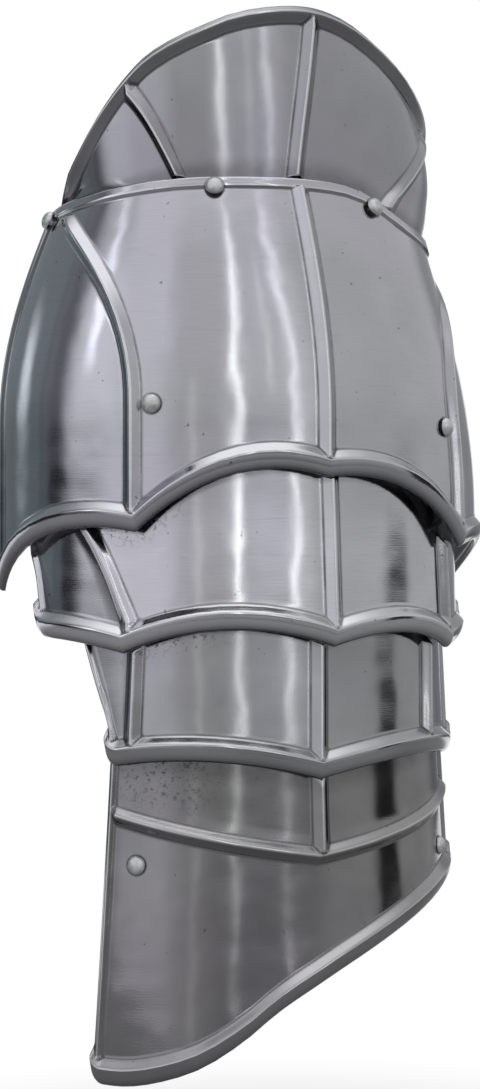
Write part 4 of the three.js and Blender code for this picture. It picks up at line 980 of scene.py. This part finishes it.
def plate_steel(name, light, dark, roughness, rings=(), soiled_at=None):
    """Satin steel with fine brushing, waviness, patina and painted shade in hollows and a few pits;
    painted shade below the plate above and on undersides, painted light on upper sides, and edge
    wear with a painted highlight on the crests.
    """
    material, nodes, shader = new_material(name, METAL)
    place = nodes.place()
    flat = unrolled(nodes, place)
    brushed_way = nodes.vector("MULTIPLY", flat, PER_METRE["brushing"]).outputs[0]
    scratched_way = nodes.vector("MULTIPLY", flat, PER_METRE["scratches"]).outputs[0]
    cloud = nodes.noise(place, PER_METRE["cloud"], 3.0, 0.5)
    patches = nodes.noise(place, PER_METRE["patches"], 3.0, 0.6)
    patchy = nodes.remap(patches, 0.35, 0.65, 0.6, 1.0)
    tucked, inside = nodes.attribute("tucked"), nodes.attribute("inside")
    dirt_and_shade = steel_dirt_and_shade(nodes, place, tucked, patchy, rings, soiled_at)
    brushing = nodes.noise(brushed_way, 1.0, 3.0, 0.6)
    follows = {
        "brushing": brushing, "scratches": nodes.noise(scratched_way, 1.0, 1.0, 0.3, 1.2),
        "pits": nodes.noise(place, PER_METRE["pits"], 1.0, 0.4), "tucked": tucked,
        "seam": nodes.math("MULTIPLY", nodes.remap(tucked, 0.84, 0.99), patchy), "inside": inside,
        "painted_light_by_facing": nodes.split(nodes.add("ShaderNodeNewGeometry").outputs["Normal"])[2],
        "crest": nodes.attribute("crest"), "dirt_and_shade": dirt_and_shade,
    }
    tone = steel_tone(nodes, place, light, dark, cloud, follows)
    rough = nodes.remap(cloud, 0.3, 0.7, roughness - 0.02, roughness + 0.02)
    dull = nodes.math("MULTIPLY", nodes.math("MAXIMUM", dirt_and_shade, inside), 0.3)
    waves = nodes.bump(nodes.noise(place, PER_METRE["waves"], 2.0, 0.5), 0.6, 0.001)
    lines = nodes.bump(brushing, 0.05, 0.0002, waves)
    grain = nodes.noise(place, PER_METRE["grain"], 2.0, 0.6)
    nodes.coat(shader, tone, nodes.math("ADD", rough, dull), nodes.bump(grain, 0.12, 0.0001, lines))
    return material


def rivet_steel():
    """Duller steel with small lumps and dark grains."""
    material, nodes, shader = new_material("rivet_steel_cast", METAL)
    place = nodes.place()
    lumps = nodes.noise(place, 420.0, 3.0, 0.6)
    grains = nodes.noise(place, 2600.0, 2.0, 0.6)
    tone = nodes.colour_mix(nodes.remap(lumps, 0.3, 0.7), grey(0.52), grey(0.72))
    tone = nodes.colour_mix(nodes.remap(grains, 0.6, 0.75, 0.0, 0.5), tone, grey(0.2))
    uneven = nodes.bump(grains, 0.35, 0.0002, nodes.bump(lumps, 0.4, 0.0008))
    nodes.coat(shader, tone, nodes.remap(lumps, 0.3, 0.7, 0.36, 0.5), uneven)
    return material


def leather():
    """Waxed leather: a fine cell grain with darker creases between the cells."""
    material, nodes, shader = new_material("waxed_leather", {})
    place = nodes.place()
    cells = nodes.add("ShaderNodeTexVoronoi", {"Vector": place, "Scale": 900.0},
                      feature="DISTANCE_TO_EDGE")
    grain = nodes.remap(cells.outputs["Distance"], 0.0, 0.12)
    cloud = nodes.noise(place, 55.0, 4.0, 0.6)
    fibres = nodes.noise(place, 1500.0, 2.0, 0.6)
    tones = (0.095, 0.05, 0.026, 1), (0.17, 0.092, 0.046, 1)
    tone = nodes.colour_mix(nodes.remap(cloud, 0.3, 0.7), *tones)
    crease = nodes.math("SUBTRACT", 0.35, nodes.math("MULTIPLY", grain, 0.35))
    tone = nodes.colour_mix(crease, tone, (0.035, 0.02, 0.012, 1))
    uneven = nodes.bump(grain, 0.35, 0.0003, nodes.bump(fibres, 0.15, 0.0003))
    nodes.coat(shader, tone, nodes.remap(cloud, 0.3, 0.7, 0.5, 0.68), uneven)
    return material


def buckle_iron():
    """Worn iron, a little cloudy."""
    material, nodes, shader = new_material("buckle_iron_worn", METAL)
    cloud = nodes.noise(nodes.place(), 260.0, 3.0, 0.6)
    tones = (0.26, 0.26, 0.27, 1), (0.46, 0.46, 0.47, 1)
    tone = nodes.colour_mix(nodes.remap(cloud, 0.35, 0.65), *tones)
    rough = nodes.remap(cloud, 0.3, 0.7, 0.32, 0.5)
    nodes.coat(shader, tone, rough, nodes.bump(cloud, 0.2, 0.0005))
    return material


# Studio: room light by direction, soft lamps, a pale floor
# The room's plain light by height above the horizon, in degrees
ROOM_LEVELS = [(-90, 0.2), (-30, 0.22), (-8, 0.45), (0, 0.58), (10, 0.66), (50, 0.68), (60, 0.9),
               (72, 1.45), (90, 1.45)]
# Its brighter and darker stretches: bearing, half width, softness, then the same for the
# height, and the light that each adds
STRETCHES = [
    (-58, 17, 7, 24, 30, 6, (0.22, 0.22, 0.26)),
    (-84, 11, 7, 22, 20, 7, (0.30, 0.31, 0.34)),
    (-92, 18, 6, -6.5, 7.5, 1.4, (-0.3, -0.3, -0.3)),
    (-86, 2.6, 2.2, 34, 15, 6, (1.0, 1.06, 1.15)),
    (-108, 8, 6.5, 16, 40, 10, (-0.48, -0.48, -0.47)),
    (-146, 30, 5, 0, 50, 12, (-0.42, -0.39, -0.39)),
    (-141, 6, 4.5, 11, 7, 5, (0.80, 0.87, 0.87)),
    (150, 34, 8, 0, 50, 12, (-0.30, -0.30, -0.29)),
    (-11, 1.1, 0.6, 26, 29, 5, (1.9, 2.0, 1.9)),
    (-12, 4, 3.6, 26, 29, 5, (0.16, 0.16, 0.17)),
    (13, 0.8, 0.5, 26, 29, 5, (1.7, 1.7, 1.75)),
    (16, 5, 4.6, 26, 29, 5, (0.20, 0.20, 0.22)),
    (3, 9, 5, 24, 26, 6, (0.12, 0.13, 0.16)),
    (-30, 1.2, 1.1, 4, 12, 6, (0.3, 0.3, 0.27)),
    (3, 0.9, 0.8, 30, 18, 8, (0.5, 0.5, 0.42)),
    (68, 6.5, 3.5, -10, 11, 2, (-0.9, -0.9, -0.9)),
    (2, 26, 12, -5, 5, 1.4, (-0.20, -0.20, -0.20)),
    (-62, 20, 10, -8, 8, 3, (0.08, 0.08, 0.08)),
]
# The room's tint, and the least light that any direction gives
ROOM_TINT, ROOM_DARKEST = (0.99, 1.0, 1.01), (0.03, 0.03, 0.03)
WHITE = grey(1)
# Bearing of the backdrop, which is white in the metal, and how straight at it a ray has to go
BACKDROP, STRAIGHT = 22, (0.945, 0.975)
# The floor's size and place, in metres
FLOOR = {"half": 1.3, "front": -0.5, "below": 0.06}
FLOOR_LOOK = {"Base Color": grey(0.3), "Roughness": 0.7, "Specular IOR Level": 0.0}
# Where the floor turns white: away from the shadow, and behind the part in the metal
FLOOR_SEEN, FLOOR_MIRRORED = (0.1, 0.3, 0.6, 1.0), (0.4, 0.8)
# Lamps: place and size in metres, power in watts
LAMPS = {
    "key": ((-1.1, -1.5, 0.9), (0.9, 1.4), 10),
    "fill": ((1.3, -1.2, 0.5), (0.9, 1.4), 5),
    "top": ((0, 0.2, 1.5), (1.4, 1.4), 8),
}
LAMP_AIM = (0, 0, -0.2)
# The photograph's view: level and turned towards the rear, from this height in the shoulder
# frame, with a lens as long as so many of the photograph's rows, on a sensor in millimetres
CAMERA = {"turn": 22, "height": -147, "distance": 1.0, "aside": 0.0004, "sensor": 36,
          "lens": 2249, "rows": 1089}


def window(nodes, value, centre, half, soft):
    """One inside a span, zero outside it, with soft sides."""
    away = nodes.math("ABSOLUTE", nodes.math("SUBTRACT", value, centre))
    return nodes.remap(away, max(half - soft, 0.0), half + soft, 1.0, 0.0)


def light_path(nodes, *kinds):
    """One for rays of the kinds named, otherwise zero."""
    path = nodes.add("ShaderNodeLightPath")
    total = path.outputs[kinds[0]]
    for kind in kinds[1:]:
        total = nodes.math("MAXIMUM", total, path.outputs[kind])
    return total


def mirrored_rays(nodes):
    return light_path(nodes, "Is Glossy Ray", "Is Transmission Ray")


def plain_light(nodes, height):
    """The room's light at a height, from straight lines between the levels."""
    total = 0.0
    base = ROOM_LEVELS[0][1]
    for (low, dim), (high, lit) in zip(ROOM_LEVELS, ROOM_LEVELS[1:]):
        step = nodes.remap(height, low, high, base, lit - dim + base, "LINEAR")
        total = nodes.math("ADD", total, step)
        base = 0.0
    return nodes.joined(*(nodes.math("MULTIPLY", total, tint) for tint in ROOM_TINT))


def room():
    """Light that depends on the direction alone, which is what shapes polished steel."""
    world = bpy.data.worlds.new("room")
    bpy.context.scene.world = world
    world.use_nodes = True
    nodes = Nodes(world.node_tree)
    x, y, z = nodes.split(nodes.add("ShaderNodeTexCoord").outputs["Generated"])
    turn = nodes.math("ARCTAN2", x, nodes.math("MULTIPLY", y, -1.0))
    bearing = nodes.math("MULTIPLY", turn, math.degrees(1))
    height = nodes.math("MULTIPLY", nodes.math("ARCSINE", z), math.degrees(1))
    light = plain_light(nodes, height)
    for centre, half, soft, middle, tall, tall_soft, colour in STRETCHES:
        spot = nodes.math("MULTIPLY", window(nodes, bearing, centre, half, soft),
                          window(nodes, height, middle, tall, tall_soft))
        light = nodes.vector("MULTIPLY_ADD", spot, colour, light).outputs[0]
    light = nodes.vector("MAXIMUM", light, ROOM_DARKEST).outputs[0]
    across = nodes.math("MULTIPLY", x, math.sin(math.radians(BACKDROP)))
    behind = nodes.math("MULTIPLY", y, math.cos(math.radians(BACKDROP)))
    towards = nodes.remap(nodes.math("ADD", across, behind), *STRAIGHT)
    mirrored = nodes.math("MULTIPLY", mirrored_rays(nodes), towards)
    shown = nodes.math("MAXIMUM", mirrored, light_path(nodes, "Is Camera Ray"))
    sockets = {"Color": nodes.colour_mix(shown, light, WHITE), "Strength": 1.0}
    nodes.show(nodes.add("ShaderNodeBackground", sockets), "ShaderNodeOutputWorld")


def lamp(name, place, size, power):
    """A soft lamp for the shadows: the metal mirrors the room instead of it."""
    data = bpy.data.lights.new(name, "AREA")
    data.shape = "RECTANGLE"
    data.size, data.size_y = size
    data.energy = power
    obj = add_object(name, data)
    obj.location = place
    obj.rotation_euler = (Vector(LAMP_AIM) - Vector(place)).to_track_quat("-Z", "Y").to_euler()
    obj.visible_camera = False
    obj.visible_glossy = False


def floor():
    """A pale floor that turns white away from the shadow, and behind the part in the metal.
    From below it isn't there, so that the part's underside can be seen."""
    material, nodes, shader = new_material("pale_floor", FLOOR_LOOK)
    x, y, _ = nodes.split(nodes.place())
    squares = nodes.math("ADD", nodes.math("MULTIPLY", x, x), nodes.math("MULTIPLY", y, y))
    away = nodes.remap(nodes.math("SQRT", squares), *FLOOR_SEEN)
    seen = nodes.math("MULTIPLY", light_path(nodes, "Is Camera Ray"), away)
    mirrored = nodes.math("MULTIPLY", mirrored_rays(nodes), nodes.remap(y, *FLOOR_MIRRORED))
    glow = nodes.add("ShaderNodeEmission", {"Color": WHITE})
    blend = nodes.shader_mix(nodes.math("MAXIMUM", seen, mirrored), shader, glow)
    backfacing = nodes.add("ShaderNodeNewGeometry").outputs["Backfacing"]
    clear = nodes.add("ShaderNodeBsdfTransparent")
    nodes.show(nodes.shader_mix(backfacing, blend, clear))
    half, front, level = FLOOR["half"], FLOOR["front"], cad_box[0][2] - FLOOR["below"]
    ends = ((-half, front), (half, front), (half, half), (-half, half))
    obj = make_mesh("floor", [(*end, level) for end in ends], [(0, 1, 2, 3)])
    obj.data.materials.append(material)


def camera():
    turn = math.radians(CAMERA["turn"])
    data = bpy.data.cameras.new("camera")
    data.lens = CAMERA["sensor"] * CAMERA["lens"] / CAMERA["rows"]
    obj = add_object("camera", data)
    ahead = Vector((math.sin(turn), math.cos(turn), 0))
    aside = Vector((math.cos(turn), -math.sin(turn), 0))
    middle = Vector(to_row([0, 0, CAMERA["height"]]))
    obj.location = middle - ahead * CAMERA["distance"] - aside * CAMERA["aside"]
    obj.rotation_euler = ahead.to_track_quat("-Z", "Y").to_euler()
    bpy.context.scene.camera = obj


# The pieces, in place
# Each plate's node and body, then its steel: light tone, dark tone and roughness
# The tones differ from plate to plate as painted light and shade: lighter on the upper lame, darker
# on the neck, the middle lame and the lower plate
PLATES = {
    "neck": ("neck_plate", "shoulder", (0.39, 0.388, 0.405, 1), (0.33, 0.332, 0.345, 1), 0.12),
    "shoulder": ("shoulder_plate", "shoulder",
                 (0.52, 0.52, 0.54, 1), (0.46, 0.465, 0.48, 1), 0.095),
    "upper": ("upper_lame", "upper_lame", (0.60, 0.60, 0.615, 1), (0.54, 0.54, 0.555, 1), 0.095),
    "middle": ("middle_lame", "middle_lame", (0.41, 0.41, 0.42, 1), (0.34, 0.34, 0.35, 1), 0.1),
    "lower": ("lower_plate", "lower_plate",
              (0.30, 0.293, 0.293, 1), (0.24, 0.236, 0.238, 1), 0.11),
}
# Where specks of soil lie round a rear cusp: angle and height
SOILED = {"upper": (-47, -143), "middle": (-37, -192), "lower": (-38, -238)}


def top_rivets():
    """Each rivet along the shoulder plate's top edge, with its angle."""
    rear, front = SHOULDER["rear"], SHOULDER["front"]
    corner = CORNER_INSET / float(per_degree(shoulder_section, np.float64(rear), np.float64(0)))
    return {**TOP_RIVETS, "top_rivet_rear_corner": rear + corner,
            "top_rivet_front_corner": front - corner}


def rivets_and_hangers(steel, strap_leather):
    """Every rivet and hanging leather. Gives the rivets' places on the outermost plates."""
    on_shoulder, on_lower = [], []
    outer = [("shoulder", SHOULDER_RIVETS, shoulder_section, "shoulder", on_shoulder),
             ("strap", STRAP_RIVETS, lower_section, "lower_plate", on_lower)]
    for node, a in top_rivets().items():
        z = float(shoulder_top(a)) - TOP_INSET
        on_shoulder.append(rivet(node, shoulder_section, a, z, HEAD, "shoulder", steel))
    for side, sign in (("rear", -1), ("front", 1)):
        for kind, at, section, body, places in outer:
            places.append(rivet(f"{kind}_rivet_{side}", section, *at[side], HEAD, body, steel))
        for level, (body, section, _) in LEVELS.items():
            a, z = PIVOTS[level]
            rivet(f"{body}_rivet_{side}", section, sign * a, z, LOW_HEAD, body, steel)
        hangers(side, strap_leather)
    return on_shoulder, on_lower


def plates(on_shoulder, on_lower):
    """The five plates, each in its own steel."""
    shapes = [neck_plate(), shoulder_plate(),
              lame("upper_lame_raised", UPPER, upper_section, shoulder_bottom, upper_bottom),
              lame("middle_lame_raised", MIDDLE, middle_section, upper_bottom, middle_bottom),
              lower_plate()]
    rings = {"shoulder": on_shoulder, "lower": on_lower}
    soiled_at = {level: tuple(stack_axis(LEVELS[level][1], *spot)[0])
                 for level, spot in SOILED.items()}
    for obj, (level, (node, body, *look)) in zip(shapes, PLATES.items()):
        steel = plate_steel(f"{level}_steel", *look, rings.get(level, ()), soiled_at.get(level))
        dress(obj, node, body, steel)


def straps(strap_leather, iron):
    """The tab, the strap round the arm and its buckle."""
    for node, body, width in (("neck_leather", "shoulder", 0.4), ("arm_strap", "lower_plate", 0.4),
                              ("buckle_strap", "lower_plate", 0.4),
                              ("strap_keeper", "lower_plate", 0.3)):
        softened(node, body, strap_leather, width, 35)
    softened("buckle_frame", "buckle_frame", iron, 0.15, 60)
    softened("buckle_prong", "buckle_prong", iron, 0.3, 45)


def pieces():
    """Every piece of the part, each in the place of its solid."""
    steel, strap_leather, iron = rivet_steel(), leather(), buckle_iron()
    plates(*rivets_and_hangers(steel, strap_leather))
    straps(strap_leather, iron)


camera()
room()
floor()
for lamp_name, settings in LAMPS.items():
    lamp(lamp_name, *settings)
pieces()

bpy.context.scene.view_settings.view_transform = "Standard"
